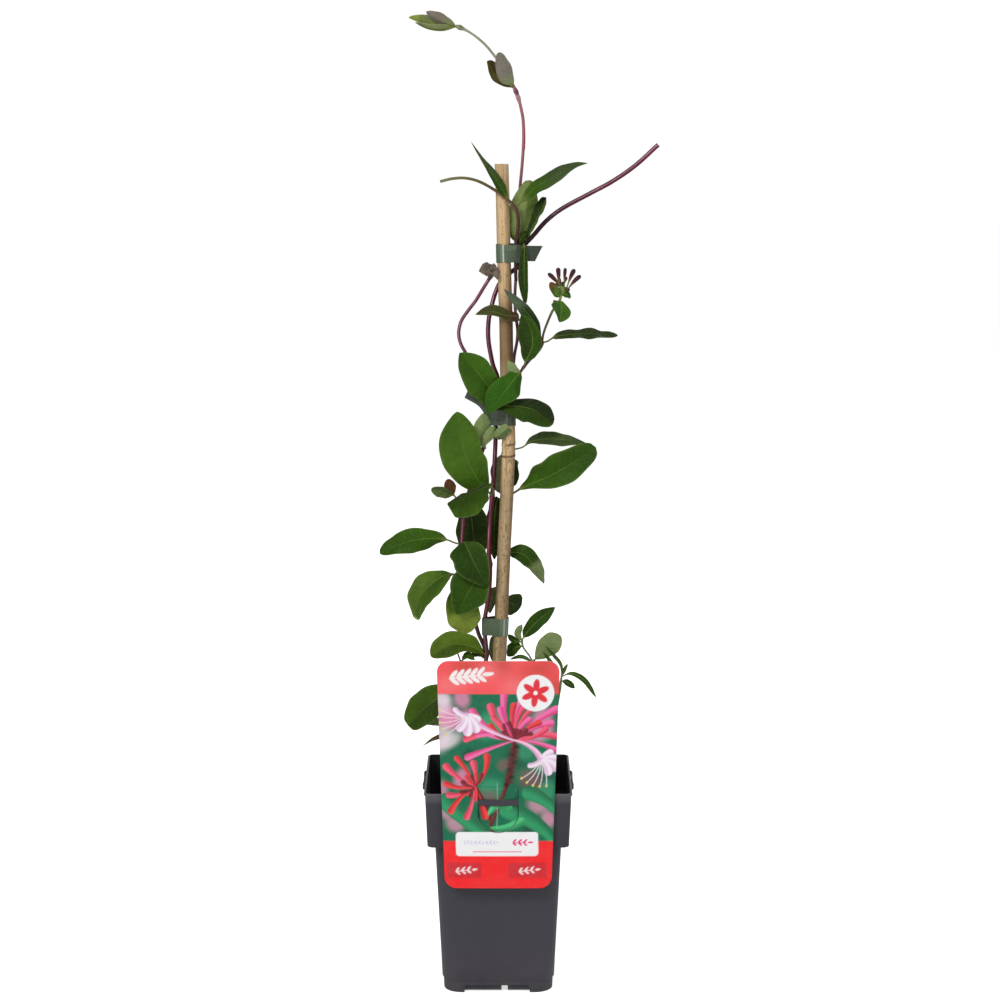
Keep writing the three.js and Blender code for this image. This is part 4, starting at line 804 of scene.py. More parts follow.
fork_low, fork_mid, sheath = (5.4, 9, 391), (7.8, 9.2, 444), (13.2, -1.8, 805)
grow("top", "shoot_top", [
    stem(TOP_PATH, 2.7, [(0, EARTH), (0.28, (86, 70, 50)), (0.4, (90, 60, 48)), (0.62, WINE),
                         (0.75, (100, 40, 60)), (0.86, (84, 44, 56)), (0.93, (120, 70, 76)),
                         (1, (180, 100, 106))],
         [fork_low, fork_mid, (9.7, 9, 486), (16.4, 2.4, 604.4), (15.8, 3.4, 671)], painted_highlight=0.5),
    stem(TIP_PATH, 3, [(0, (178, 92, 100)), (0.3, (184, 108, 112)), (0.362, (190, 148, 140)),
                       (0.378, (112, 26, 66)), (0.395, (120, 34, 74)), (0.41, (172, 104, 122)),
                       (0.455, (168, 110, 122)), (0.47, (160, 160, 126)), (0.93, (172, 178, 146)),
                       (0.95, (128, 142, 92)), (1, (118, 136, 84))],
         [(17.4, -0.9, 796.4, 0.6), (15.4, -1.4, 800.4, 0.4), (14, -1.8, 803.4, 0.3), (-34.4, -4, 856.6, 0.8),
          (-31.6, -4, 855.6, 0.5), (-29, -4, 854.6, 0.2)], 0.66, 0.4),
    stem(CUT_PATH, 3, [(0, (70, 30, 34)), (0.3, (84, 44, 36)), (0.5, (96, 62, 42)), (0.7, (108, 98, 52)),
                       (1, (124, 126, 66))], [(15, -7.2, 701.4)], 0.85),
], [
    leaf([(2.3, 8.3, 317), (-3.6, 7.4, 315), (-5, 6.6, 305), (-5.2, 6.4, 293)], 7, BACK, "sage"),
    leaf([(3.5, 8.8, 353), (-2.6, 8, 358), (-6.6, 7, 349), (-7.6, 6, 337.6)], 10, BACK, "sage"),
    leaf([(3.6, 8.8, 349), (9, 13, 347), (20, 22, 339.6)], 22, (-0.5, -0.8, 0.3), "dark"),
    leaf([fork_low, (12, 9, 393), (22, 6, 392), (31, 2, 383), (41, -1, 366.4)], 19, FRONT, "deep",
         twist=-1.1, blunt=0.45, tip=(112, 128, 84), tip_from=0.5),
    leaf([fork_low, (-4, 18, 398), (-13, 30, 396), (-20, 44, 386)], 22, UP, "green", wave=1.5),
    leaf([fork_mid, (13, 8, 447), (21.6, 5, 452.6), (52, -4, 468), (86.6, -8, 491)], 33,
         (-0.1, -0.98, 0.2), "green", stalk=0.14, wave=1.5, waves=2.5, blunt=0.6,
         fold=0.2, point=0.4, rim=(120, 146, 84), rim_weight=0.4,
         margins=((5, 13.5, 13, 16, 15, 13.3, 10.2), (3.5, 7.2, 11.3, 13.8, 15, 13.2, 10.2))),
    leaf([fork_mid, (5.4, 12, 452), (6, 13, 466), (7.4, 13, 483.4)], 26, (0, -1, 0.1), "dark", blunt=0.45,
         left=(160, 172, 134)),
    leaf([(7, 9.2, 436), (0, 13, 442), (-3.4, 13.4, 422), (-3.4, 12, 386)], 15, (0, -1, 0.1), "dark"),
    leaf([(9, 9.4, 468), (9, 22, 473), (10, 38, 468), (10, 52, 456)], 18, UP, "green", wave=1.5),
    leaf([(9.7, 9, 486), (16, 6, 487.6), (22, 4, 489.6), (29, 2, 494.6), (52, -2, 497.6),
          (78, 0, 493.6)], 13.5, UP_FRONT, "slate", stalk=0.24, rim=(120, 140, 110), rim_weight=0.4,
         margins=((5, 7.2, 6.4, 6.5, 5.1, 4.4, 2.4), (2.3, 4.8, 6.5, 7.6, 7.4, 5.6, 3))),
    leaf([(16.4, 2.4, 604.4), (17.6, -4, 607), (8, -11.6, 608), (-5, -12.6, 611.6), (-20, -10, 609)],
         12, (0, -0.9, 0.4), "olive", fold=0.2, blunt=0.5, foot=(82, 56, 44), foot_to=0.5, point=0.8,
         margins=((5, 5.4, 4.6, 3.6, 3.6, 3, 1.8), (3, 4.4, 5.4, 6, 6.3, 5.2, 3.6))),
    leaf([(16.4, 3, 605), (21, 12, 601), (27, 26, 598), (30, 40, 589)], 16, UP, "dark", wave=1.2),
    leaf([(15.8, 3.4, 672), (19.4, 1.4, 677), (24, 1, 702), (28, 4, 725.4)], 25, BACK, "pale", fold=0.15,
         stalk=0.03, blunt=0.2, left=(100, 118, 58),
         margins=((8, 9, 10.4, 11.4, 11, 8.8, 6), (11, 12.6, 13.4, 13.5, 12.6, 10.6, 7.4))),
    leaf([(16.4, 3, 671), (19, -4, 673), (23.6, -5.4, 679), (27, -5, 676)], 7, FRONT, "dark", fold=0.5,
         ripple=2),
    leaf([(15.8, 3.6, 670), (13.4, 6, 677), (12, 8, 688), (13.4, 8, 701)], 9, BACK, "sage"),
    leaf([(15, -7.2, 701.4), (19, -9, 706), (24, -10.4, 711), (33.2, -11, 720.2), (49.3, -12, 729),
          (59.2, -11, 735.6), (67.9, -9, 739), (78, -8, 740.5)],
         14.5, (-0.2, -0.9, 0.4), "slate", stalk=0.14, blunt=0.25, point=0.9, tip=(170, 165, 150),
         tip_from=0.95, foot=(52, 86, 14), foot_to=0.6, petiole=(92, 108, 58), ribbed=0.35,
         margins=((4.6, 5.5, 5.6, 6.2, 5.3, 3.6, 2.2), (6, 7.2, 7.4, 6.2, 6, 4.2, 2.3))),
    leaf([(11.4, -8.6, 706), (6.8, -10.6, 712), (-6, -13, 733), (-15.2, -13, 746), (-23.6, -12, 759)], 9,
         (0.4, -0.9, 0.2), "slate", blunt=0.6, point=0.9, tip=(160, 150, 130), tip_from=0.96,
         foot=(44, 74, 14), foot_to=0.6, ribbed=0.35,
         margins=((3.6, 4.6, 4.2, 3.3, 2.2, 1.3, 0.8), (3.6, 4.6, 4.2, 3.3, 2.2, 1.3, 0.8))),
    leaf([sheath, (11, -5, 810), (5, -7, 820), (0.4, -7, 835)], 16, (0.2, 1, 0.1), "mauve",
         point=0.45, rim=(120, 80, 76), foot=(122, 128, 102), foot_to=0.5, ripple=0.3,
         margins=((3.3, 4.8, 6.5, 7, 6.9, 5.6, 4.2), (7, 8.3, 8, 7.3, 6.6, 5.8, 4))),
    leaf([sheath, (4, 2, 809), (-3.4, 4, 817), (-9.4, 4, 828)], 14, (0.4, -0.9, 0.3), "brown",
         point=0.4, blunt=0.5, rim=(110, 84, 60), left=(84, 76, 36), right=(62, 54, 24), ripple=0.4,
         margins=((3, 3.4, 5, 5.8, 5, 4, 2.2), (2.6, 5, 6.6, 7.5, 7.5, 7, 5.5))),
    leaf([(-35, -4, 857), (-44, -6, 860), (-53, -7, 864.6), (-62, -7, 869.4)], 9, (0, 0.8, 0.6), "mauve",
         rim=(130, 84, 84), rim_weight=0.6, foot=(122, 132, 96), foot_to=0.6,
         margins=((3.3, 4.8, 5.2, 5.4, 5, 4.4, 3), (3, 5, 6, 6.2, 6, 5, 3.2))),
    leaf([(-35, -4, 857), (-48, -2, 859), (-62, -2, 861), (-77, -4, 864.6)], 8.6, (0, -0.8, 0.6), "tip",
         blunt=0.6, point=0.6, fold=0.5, rim=(168, 180, 104), rim_weight=0.4, ripple=0.4, tip=(140, 152, 74),
         tip_from=0.7, margins=((2.4, 3.6, 4, 4, 4, 3.8, 2.6), (3, 4.4, 5.4, 5.6, 5.4, 4.8, 3.2))),
    leaf([(-35, -4, 857), (-46, -6, 855), (-59, -7, 855.8), (-71.6, -6, 860.4)], 9, (0, -0.9, 0.4),
         "tip", fold=0.6, left=(88, 108, 62), right=(122, 134, 92),
         rim=(178, 182, 134), rim_weight=0.6, ripple=0.4,
         margins=((1.6, 2.6, 3, 2.6, 2.4, 2, 1.4), (2.4, 3.4, 3.6, 3.4, 3, 2.2, 1.4))),
])

fork = (38.8, -6, 584)
grow("flower", "shoot_flower", [
    stem([(13.7, 5.5, 555.6), (16.4, 1.6, 555.6), (19, -2, 556.8), (22.5, -4, 562), (28, -5, 568.4),
          (34, -6, 574.6), (38, -6, 580.4), (39.2, -6, 585.4)], 2.4,
         [(0, (92, 62, 56)), (0.6, (104, 60, 66)), (1, (110, 70, 66))], [fork, (22.5, -4, 562)]),
    stem([(38.6, -6, 582), (39.6, -6.4, 591), (43, -7, 601), (48, -8, 612.4), (51.6, -8.6, 617.4),
          (54.2, -9.2, 622), (55.4, -9.5, 629.6)], 1.9,
         [(0, (88, 62, 50)), (0.5, (92, 92, 56)), (0.72, (130, 152, 84)), (1, (142, 166, 88))],
         [(52, -8.4, 617.6), (55.4, -9.5, 629.6, 0.4)], 1.35),
], [
    leaf([(16.4, 1.6, 555.7), (19.4, -6, 558), (12, -15, 550), (2, -19, 537), (-8.6, -18, 522)], 28,
         (0.1, -1, 0.15), "vivid", stalk=0.17, fold=0.12, blunt=0.5, point=0.7,
         margins=((5.8, 9, 12.7, 11.2, 8.4, 5.6, 2.8), (6.7, 8.4, 11, 12.9, 13.1, 12, 7.7))),
    leaf([(16.4, 1.6, 555.7), (19.4, -6, 556.8), (14, -11.4, 559.4), (8.4, -11, 568.4)], 9, BACK, "sage",
         stalk=0.35),
    leaf([fork, (34.4, -8, 598), (25.6, -9.4, 610.4), (15.4, -11.6, 621.4), (5, -12.6, 631.6)], 13.5,
         (-0.4, -0.9, -0.1), "blue", blunt=0.7, rim=(104, 124, 96), rim_weight=0.5,
         tip=(82, 98, 80), tip_from=0.5,
         margins=((2.5, 5, 6.3, 6, 4.7, 3.4, 2.3), (2, 4.9, 6, 6, 5.5, 4.7, 2.8))),
    leaf([(22.5, -4, 562), (24.6, -9, 569), (30, -14, 582), (28.4, -16, 597), (20.6, -15, 610.4)], 17,
         FRONT, "green", stalk=0.12, blunt=0.7, fold=0.35, left=(38, 64, 8), right=(44, 76, 8),
         margins=((6, 9.8, 11.5, 12.2, 12, 10.5, 7), (4.5, 6, 7.8, 7.8, 7, 5, 3))),
    leaf([fork, (43.4, -6, 585), (49, -7, 588.6), (76, -12, 592), (105, -10, 590.6)], 14.5,
         (0, -0.6, 0.8), "dark", stalk=0.15, wave=0.8, waves=3, blunt=0.4, left=(46, 62, 32),
         margins=((5.2, 5.2, 5.7, 6.1, 5.2, 4.2, 3.8), (5, 5.4, 6.5, 7.2, 7.2, 6.5, 4.6))),
    leaf([(52.9, -8.7, 619), (54.8, -11.4, 620.4), (55.2, -13, 613), (53.8, -13.4, 602.6)], 16, FRONT,
         "fresh", blunt=0.16, point=0.6, fold=0.15, left=(62, 98, 26), right=(48, 84, 30),
         margins=((1.8, 4, 6.6, 8.4, 8.7, 7.7, 4.7), (8.6, 8.5, 7.6, 6.2, 4.8, 3.4, 2))),
    leaf([(55.1, -9.4, 625.4), (53, -11, 625.4), (49.4, -12, 631.8), (45.4, -11.6, 637.4)], 8,
         (-0.5, -0.8, 0.3), "olive", point=0.5, blunt=0.5,
         tip=(108, 66, 42), tip_from=0.62, foot=(70, 104, 40),
         foot_to=0.7, rim=(150, 120, 80), right=(92, 104, 42)),
    leaf([(55.1, -9.4, 626.4), (59, -11, 626.6), (63, -11.6, 623.4)], 6.5, FRONT, "green", point=0.35,
         margins=((1.6, 2.2, 2.8, 3.2, 3.2, 2.8, 2), (1.6, 2.2, 2.6, 2.6, 2.2, 1.6, 1))),
])

grow("low_left", "shoot_low_left", [
    stem(from_soil(-24, -13) + [(-27, -12, 200), (-31, -11, 235),
          (-33.4, -10, 268), (-33.2, -9, 298)], 2.2, [(0, EARTH), (0.4, (92, 70, 50)), (1, (96, 90, 56))],
         [(-31, -11, 236), (-33.4, -10, 264)]),
    stem([(-33.2, -9, 294), (-36, -9, 303), (-40.4, -9, 312.6)], 1.5,
         [(0, (110, 100, 84)), (1, (140, 132, 116))]),
], [
    leaf([(-33.4, -10, 264), (-44, -13, 268), (-61, -16, 260), (-81, -14, 238.4)], 29.6,
         (-0.1, -0.9, 0.4), "deep", belly=1.2, blunt=0.45, point=0.36, right=(56, 84, 12), left=(44, 68, 8)),
    leaf([(-31, -11, 236), (-46, -9, 240), (-66, -6, 238)], 13, (0, 0.8, 0.6), "deep"),
    leaf([(-29, -11.6, 221), (-46, -13, 229), (-58, -14, 226.4), (-68, -14, 219.8)], 5, UP_FRONT,
         "brown", belly=0.75, blunt=0.8),
    leaf([(-33.2, -9, 296.6), (-28, -12, 303), (-21, -12, 299)], 7, UP_FRONT, "green"),
    leaf([(-31, -11, 236), (-38, 4, 244), (-44, 20, 242), (-48, 34, 232)], 20, UP, "deep", wave=1.5),
    leaf([(-26, -12.4, 190), (-34, -20, 201), (-41, -30, 204), (-45, -42, 198)], 20, (0, 0.3, 1),
         "green", wave=1.5),
])

grow("low_right", "shoot_low_right", [
    stem(from_soil(26, 0) + [(29, 2, 200), (31, 3, 250), (32, 4, 286),
          (32.2, 4, 295.4)], 2.2, [(0, EARTH), (0.5, (104, 96, 62)), (1, SAGE_STEM)], [(32, 4, 291)]),
    stem([(32.2, 4, 291), (28, 5, 299), (22.4, 6, 307), (21.4, 6.5, 314.5)], 1.7,
         [(0, SAGE_STEM), (1, SAGE_STEM)], [(21.8, 6.3, 311)]),
], [
    leaf([(32.2, 4, 294.4), (38, 0, 301.6), (47, -3, 311.6), (56.6, -2, 318.6)], 20, (0, 1, -0.2),
         "sage", belly=1.4, blunt=0.45),
    leaf([(21.4, 6.5, 313), (25, 3, 319.6), (36, -2, 333), (51, -3, 345.4)], 14, (-0.2, -0.95, 0.2),
         "deep"),
    leaf([(21.4, 6.5, 312), (17.6, 5, 319), (21.4, 4, 328)], 6.5, BACK, "sage"),
    leaf([(21.6, 6.5, 311), (14.6, 9, 312), (8.4, 11, 317)], 6.5, UP_FRONT, "green"),
    leaf([(22.2, 6.1, 307.4), (16, 9, 305.4), (8, 13, 297)], 13, UP_FRONT, "green"),
    leaf([(32, 4, 292.6), (21, 6.4, 297.4), (10.6, 9, 294.6)], 4, UP_FRONT, "green"),
    leaf([(31.2, 3.2, 256), (36, 16, 263), (41, 30, 261), (44, 42, 251)], 20, UP, "green", wave=1.5),
    leaf([(29.2, 2.1, 204), (22, -12, 214), (12, -26, 213), (2, -38, 205)], 21, (0, 0.2, 1), "deep",
         wave=1.5),
    leaf([(29.2, 2.1, 204), (34, 14, 212), (38, 28, 209), (40, 40, 200)], 18, UP, "green", wave=1.5),
], YOUNG_SKIN)

narrow_tip = (57.1, -4, 281.6)
grow("narrow", "shoot_narrow", [
    stem(from_soil(40, -8) + [(44, -7, 200), (51, -5, 240), (55.6, -4, 268),
          (57.2, -4, 283)], 1.8, [(0, EARTH), (0.5, (104, 96, 62)), (1, SAGE_STEM)],
         [(56.7, -4, 278), (55.8, -4, 270)]),
], [
    leaf([narrow_tip, (56.4, -6, 293), (50, -7, 302), (42, -8, 311)], 3.4, FRONT, "green"),
    leaf([(55.8, -4, 270), (52, -6, 284), (47, -7, 296), (40.4, -7, 305)], 4.6, FRONT, "green"),
    leaf([narrow_tip, (60, -5, 289), (62.6, -5, 293.6)], 3.4, FRONT, "green"),
    leaf([narrow_tip, (65, -5, 284.6), (76, -6, 280), (88.4, -7, 263)], 5.4, UP_FRONT, "green"),
    leaf([(56.7, -4, 278), (62, -6, 276.6), (69, -7, 271.6)], 6.4, UP_FRONT, "deep"),
], YOUNG_SKIN)


# ---------- flower buds ----------
RIPE = [(0, (150, 166, 84)), (0.3, (140, 132, 76)), (0.42, (112, 66, 54)), (0.55, (88, 28, 44)),
        (0.85, (70, 16, 38)), (0.96, (46, 8, 24)), (1, (60, 20, 30))]
SMALL = [(0, (150, 166, 84)), (0.5, (96, 92, 44)), (1, (70, 52, 34))]
HEAD_Y = -9.6
CORE_RADII, CORE_MIDDLE = np.array([3.1, 2.8, 4.6]), np.array([56.2, HEAD_Y, 630.8])
BUD_ROWS, BUD_SIDES = 15, 10


def bud(tip, radius, foot_x=56, foot_z=632.6, bow=1.2, marks=RIPE):
    """A club-shaped bud from its foot in the head to its tip: its radius rises along its length from a
    narrow tube to its widest place near four fifths, then rounds off; its line rises by bow in its middle."""
    core = np.array((foot_x, HEAD_Y, foot_z))
    reach = np.asarray(tip, float) - core
    share = np.linspace(0, 1, BUD_ROWS)
    widths = [0.6, 0.68, 0.55 * radius, 0.86 * radius, radius, 0.88 * radius, 0.6 * radius, 0.05]
    r = np.interp(share, [0, 0.2, 0.36, 0.55, 0.78, 0.9, 0.96, 1], widths)
    middle = core + share[:, None] * reach + np.array([0, 0, bow]) * np.sin(np.pi * share)[:, None]
    along = unit(np.gradient(middle, axis=0))
    side = unit(np.cross(along, np.array([0.2, 1.0, 0.1])))
    angle = circle(BUD_SIDES)
    flute = 1 + 0.06 * np.cos(5 * angle)
    rings = rings_round(middle, along, side, r[:, None] * flute, angle)
    tone = np.broadcast_to(tones_at(marks, share)[:, None], rings.shape)
    run = share[:, None] * np.linalg.norm(reach)
    return of_rings(rings, tone, points_of(run, np.cos(angle) * radius, np.sin(angle) * radius))


head = [bud(*row) for row in (
    ((43.4, -11, 645.4), 2, 56.4, 631), ((52.3, -12, 650.4), 2.1, 53.6, 633),
    ((58.8, -10, 650), 1.6, 57.6, 633), ((67, -11, 649), 2.1, 60.2, 633),
    ((72.6, -9, 643.2), 2, 59.6, 629.4), ((60, -2, 641), 1.6, 57, 633), ((53, 0, 640), 1.6, 55, 633))]
for tip, radius in (((62.4, -13, 629.8), 1.9), ((56.4, -13.6, 637), 1.9), ((50, -4, 635), 1.6)):
    head.append(bud(tip, radius, bow=0.6, marks=SMALL))
head.append(of_rings(ball_rings(9, 12, 0.04) * CORE_RADII + CORE_MIDDLE, rgb(128, 148, 72)))
make("bud_head", head, [BUD_SKIN], "flower_buds", crease=60)


# ---------- pot ----------
SIDE_SHARES = np.array([-1, -0.93, -0.89, -0.865, -0.84, -0.82, -0.8, -0.6, -0.35, 0,
                        0.35, 0.6, 0.78, 0.8, 0.82, 0.845, 0.87, 0.93, 1])
CORNER_TURNS = np.linspace(0, np.pi / 2, 10)[1:-1]
CHARCOAL, INSIDE_SHADE, LIP_HIGHLIGHT = rgb(62, 60, 68), rgb(20, 19, 21), rgb(96, 94, 100)
LIP_ROWS, INSIDE_ROWS = 7, 15
NOTCH = 6.5


def square_rings(levels, notch_top=None):
    """Rounded-square rings, one for each (z, half-width, corner radius), anticlockwise from above.

    Each side runs straight to its corner's centre and the corner is a quarter circle. Where
    notch_top is given, points between the feet are lifted: z becomes n + z (1 - n / notch_top),
    with n = 6.5 between the feet's inner edges, falling off over one millimetre.
    """
    z, half, corner = (np.array(column, float)[:, None] for column in zip(*levels))
    flat = half - corner
    x = np.hstack([SIDE_SHARES * flat, flat + corner * np.sin(CORNER_TURNS)])
    y = np.hstack([-half + 0 * SIDE_SHARES, -flat - corner * np.cos(CORNER_TURNS)])
    tall = z + 0 * x
    if notch_top is not None:
        gap = NOTCH * step(29.6, 28.4, np.abs(x + 1))
        gap[:, len(SIDE_SHARES):] = 0
        tall = gap + tall * (1 - gap / notch_top)
    return np.concatenate([np.stack([a, b, tall], -1) for a, b in ((x, y), (-y, x), (-x, -y), (y, -x))], 1)


def body_half(z):
    """Half-width of the pot's tapering body at a height."""
    return 50.5 + 6 * (z - 11) / 129


def collar_half(z):
    """Half-width of the collar at a height."""
    return 63 + 2 * (z - 140) / 50


under = square_rings([(7.2, 1, 0.5), (7.2, 10, 5), (7.2, 30, 10), (7.2, 46.4, 13.4), (7.1, 47, 13.6)])
skirt = square_rings([(6, 47, 13.6), (3, 46.8, 13.6), (0.5, 46.6, 13.6), (0, 46.9, 13.8)], 7.2)
feet = square_rings([(0, 48.9, 16), (0.6, 49.1, 16), (3, 49.2, 16), (6, 49.35, 16), (9, 49.45, 16)], 10)
walls = square_rings(
    [(10.6, 49.5, 16), (11.2, 50.1, 15.7), (12, 50.6, 15.5)]
    + [(z, body_half(z), 16 - 7 * z / 140) for z in (30, 55, 80, 105, 125, 137)]
    + [(139.4, 56.5, 9), (140, 56.9, 9), (140, 58, 7.6), (140, 62.5, 5), (140.5, 63, 5)]
    + [(z, collar_half(z), 5) for z in (150, 165, 180, 186.6)]
    + [(187.2, 65.1, 5), (187.6, 65.6, 5.4), (188.2, 65.8, 5.5), (189.2, 65.8, 5.5), (189.8, 65.5, 5.3),
       (190, 65.1, 5), (190, 64.2, 4.2), (189.8, 63.8, 3.9), (188, 63.6, 3.8), (165, 62.7, 3.8),
       (142, 61.8, 3.8), (141.4, 61.4, 3.8), (141.3, 56, 7.6), (141, 55.4, 7.8), (139, 55.1, 7.8),
       (60, 51.4, 12), (9.6, 48.4, 14), (8.7, 47.6, 14), (8.7, 30, 10), (8.7, 10, 5), (8.7, 1, 0.5)])
pot_rings = np.concatenate([under, skirt, feet, walls])
up = pot_rings[..., 2:]
# painted shade: darker just under the collar's overhang; the body also lighter towards the bottom, the collar
# at 0.84
painted_shade_by_height = np.where(up > 139.8, 0.84, 0.3 * step(140, 118, up) + 0.1 * step(110, 20, up) + 0.72)
left_over = (len(pot_rings) - np.arange(len(pot_rings)))[:, None, None]
# LIP_HIGHLIGHT: a painted highlight on the rows of the rim's rolled lip
pot_tone = np.where(left_over <= LIP_ROWS + INSIDE_ROWS, LIP_HIGHLIGHT, CHARCOAL * painted_shade_by_height)
# INSIDE_SHADE: painted shade, near black, on the pot's inner walls and ledges
pot_tone = np.where(left_over <= INSIDE_ROWS, INSIDE_SHADE, pot_tone)
pot = [of_rings(pot_rings, pot_tone)]

STRAP_Z, STRAP_HIGH, STRAP_THICK, STRAP_SAG = 182.4, 5.5, 1.5, 1.6
STRAP_END = (21.8, -collar_half(STRAP_Z) + 0.6)
STRAP_FRONT = -(collar_half(185.2) + 1.7 + 0.75)
STRAP_PLAN = [STRAP_END, (21.8, STRAP_FRONT + 1.2), (20.4, STRAP_FRONT), (10, STRAP_FRONT)]


def blunted(wave):
    """A wave flattened to its sides: sign(w) |w|^0.4."""
    return np.sign(wave) * np.abs(wave) ** 0.4


def strap_rings():
    """A strap of the card side: a rounded oblong section along a level path that stands off the
    collar, its ends higher than its middle by 1.6 (x / 22)^2."""
    plan = [(-x, y) for x, y in STRAP_PLAN] + [(0, STRAP_FRONT)] + STRAP_PLAN[::-1]
    middle, along, _ = line_at([(x, y, STRAP_Z) for x, y in plan], np.linspace(0, 1, 48))
    upwards = np.array([0, 0, 1.0])
    out = np.cross(along, upwards)
    angle = circle(16) + 0.2
    thick, high = blunted(np.cos(angle)) * STRAP_THICK / 2, blunted(np.sin(angle)) * STRAP_HIGH / 2
    rings = middle[:, None] + out[:, None] * thick[:, None] + upwards * high[:, None]
    rings[..., 2] += STRAP_SAG * (rings[..., 0] / 22) ** 2
    return rings


def box_bar(x0, x1, y0, y1, z0, z1):
    """A straight bar between two x, as two square rings."""
    return np.array([[(x, y, z) for y, z in ((y0, z0), (y1, z0), (y1, z1), (y0, z1))] for x in (x0, x1)])


def pot_piece(rings, turn):
    """A charcoal shape taken round the pot's axis."""
    return of_rings(points_of(*swing(rings[..., 0], rings[..., 1], turn), rings[..., 2]), CHARCOAL)


RIB_PLACE = (-46.4, -45.2, 1.4, 7.3)
for quarter in range(4):
    for rings in (strap_rings(), box_bar(-33, 3, *RIB_PLACE), box_bar(8.6, 32, *RIB_PLACE)):
        pot.append(pot_piece(rings, quarter * math.pi / 2))
for turn in (math.pi / 4, -math.pi / 4):
    pot.append(pot_piece(box_bar(-61, 61, -0.75, 0.75, 0.9, 7.4), turn))
hub_up, hub_out, about = np.array([[0], [0.5], [7.4]]), np.array([[6.4], [7], [7]]), circle(28)
pot.append(of_rings(points_of(hub_out * np.cos(about), hub_out * np.sin(about), hub_up), CHARCOAL))
make("pot_shell", pot, [POT], "pot", crease=40)


# ---------- compost ----------
def ground(x, y):
    """Height of the compost: a low crown e^-(r^2 / 900) with three sizes of lumps, each a product of
    a sine along x and y and one across."""
    crown = 155.4 + 1.4 * np.exp(-(x ** 2 + y ** 2) / 900)
    lumps = 0.9 * np.sin(0.19 * x + 1.3 * np.sin(0.11 * y)) * np.cos(0.17 * y + 0.6)
    lumps = lumps + 0.5 * np.sin(0.53 * x + 0.4 * y) * np.sin(0.47 * y - 0.3 * x + 1)
    return crown + lumps + 0.25 * np.sin(1.3 * x + 0.8 * y) * np.sin(1.5 * y - 0.6 * x)


BALL = 5, 6


def crumbs(count, seed, low, high, flat, tone_a, tone_b):
    """Many small lumps on the compost: a coarse ball whose radius wavers from point to point, stretched
    and turned for each crumb. flat is the share of its height left."""
    rng = np.random.default_rng(seed)
    ball = ball_rings(*BALL, 0.25).reshape(-1, 3)
    size = rng.uniform(low, high, (count, 1, 1))
    shape = ball[None] * rng.uniform(0.7, 1.3, (count, len(ball), 1)) * size
    shape = shape * np.stack([rng.uniform(0.8, 1.8, count), rng.uniform(0.6, 1.1, count),
                              rng.uniform(0.6, 1.0, count) * flat], -1)[:, None]
    yaw, lean = rng.uniform(0, 6.28, (count, 1)), rng.uniform(-0.5, 0.5, (count, 1))
    x, y, z = shape[..., 0], shape[..., 1], shape[..., 2]
    x, z = swing(x, z, lean)
    x, y = swing(x, y, yaw)
    cx, cy = rng.uniform(-56, 56, (2, count, 1))
    points = np.stack([x + cx, y + cy, z + ground(cx, cy) + size[..., 0] * 0.25 * flat], -1)
    quads = skin(*BALL)[None] + (np.arange(count) * len(ball))[:, None, None]
    share = rng.uniform(0, 1, (count, 1, 1)) ** 1.5
    tone = laid(rgb(*tone_a), rgb(*tone_b), share) * np.ones((1, len(ball), 1))
    return points.reshape(-1, 3), quads.reshape(-1, 4), tone, None


SOIL_HALF, SOIL_EDGE = 61.2, 153.2
halves = np.concatenate([[SOIL_HALF, 60.4], np.linspace(58, 2, 32)])
top = square_rings([(SOIL_EDGE, half, min(3.4 + (SOIL_HALF - half) * 0.16, half * 0.8)) for half in halves])
top[1:, :, 2] = ground(top[1:, :, 0], top[1:, :, 1])
deep = square_rings([(9, 20, 8), (9, 47.6, 13.6), (60, 50.6, 11), (138, 54.7, 7.6), (141.8, 54.9, 7.4),
                     (141.8, SOIL_HALF, 3.4), (148, 61.3, 3.4)])
soil = [of_rings(np.concatenate([deep, top]), rgb(62, 46, 36)),
        crumbs(520, 3, 0.8, 1.9, 0.9, (46, 34, 27), (92, 70, 52)),
        crumbs(60, 8, 2.2, 3.6, 0.4, (84, 58, 40), (128, 96, 68))]
make("compost", soil, [SOIL], "soil", crease=50)


# ---------- cane ----------
LEAN = np.array([(-7, 12), (-3, 155), (1.3, 300), (3, 340), (5.3, 400), (7.8, 450), (9.3, 495), (7.5, 560),
                 (6.9, 600), (5, 660), (4, 710), (3, 740)], float)
CANE_RADIUS, CANE_TOP = 6.1, 740
RIDGE, GROOVE = 483, 493.4


def cane_x(z):
    """The cane's middle at a height, straight between the places where it bends."""
    return np.interp(z, LEAN[:, 1], LEAN[:, 0])


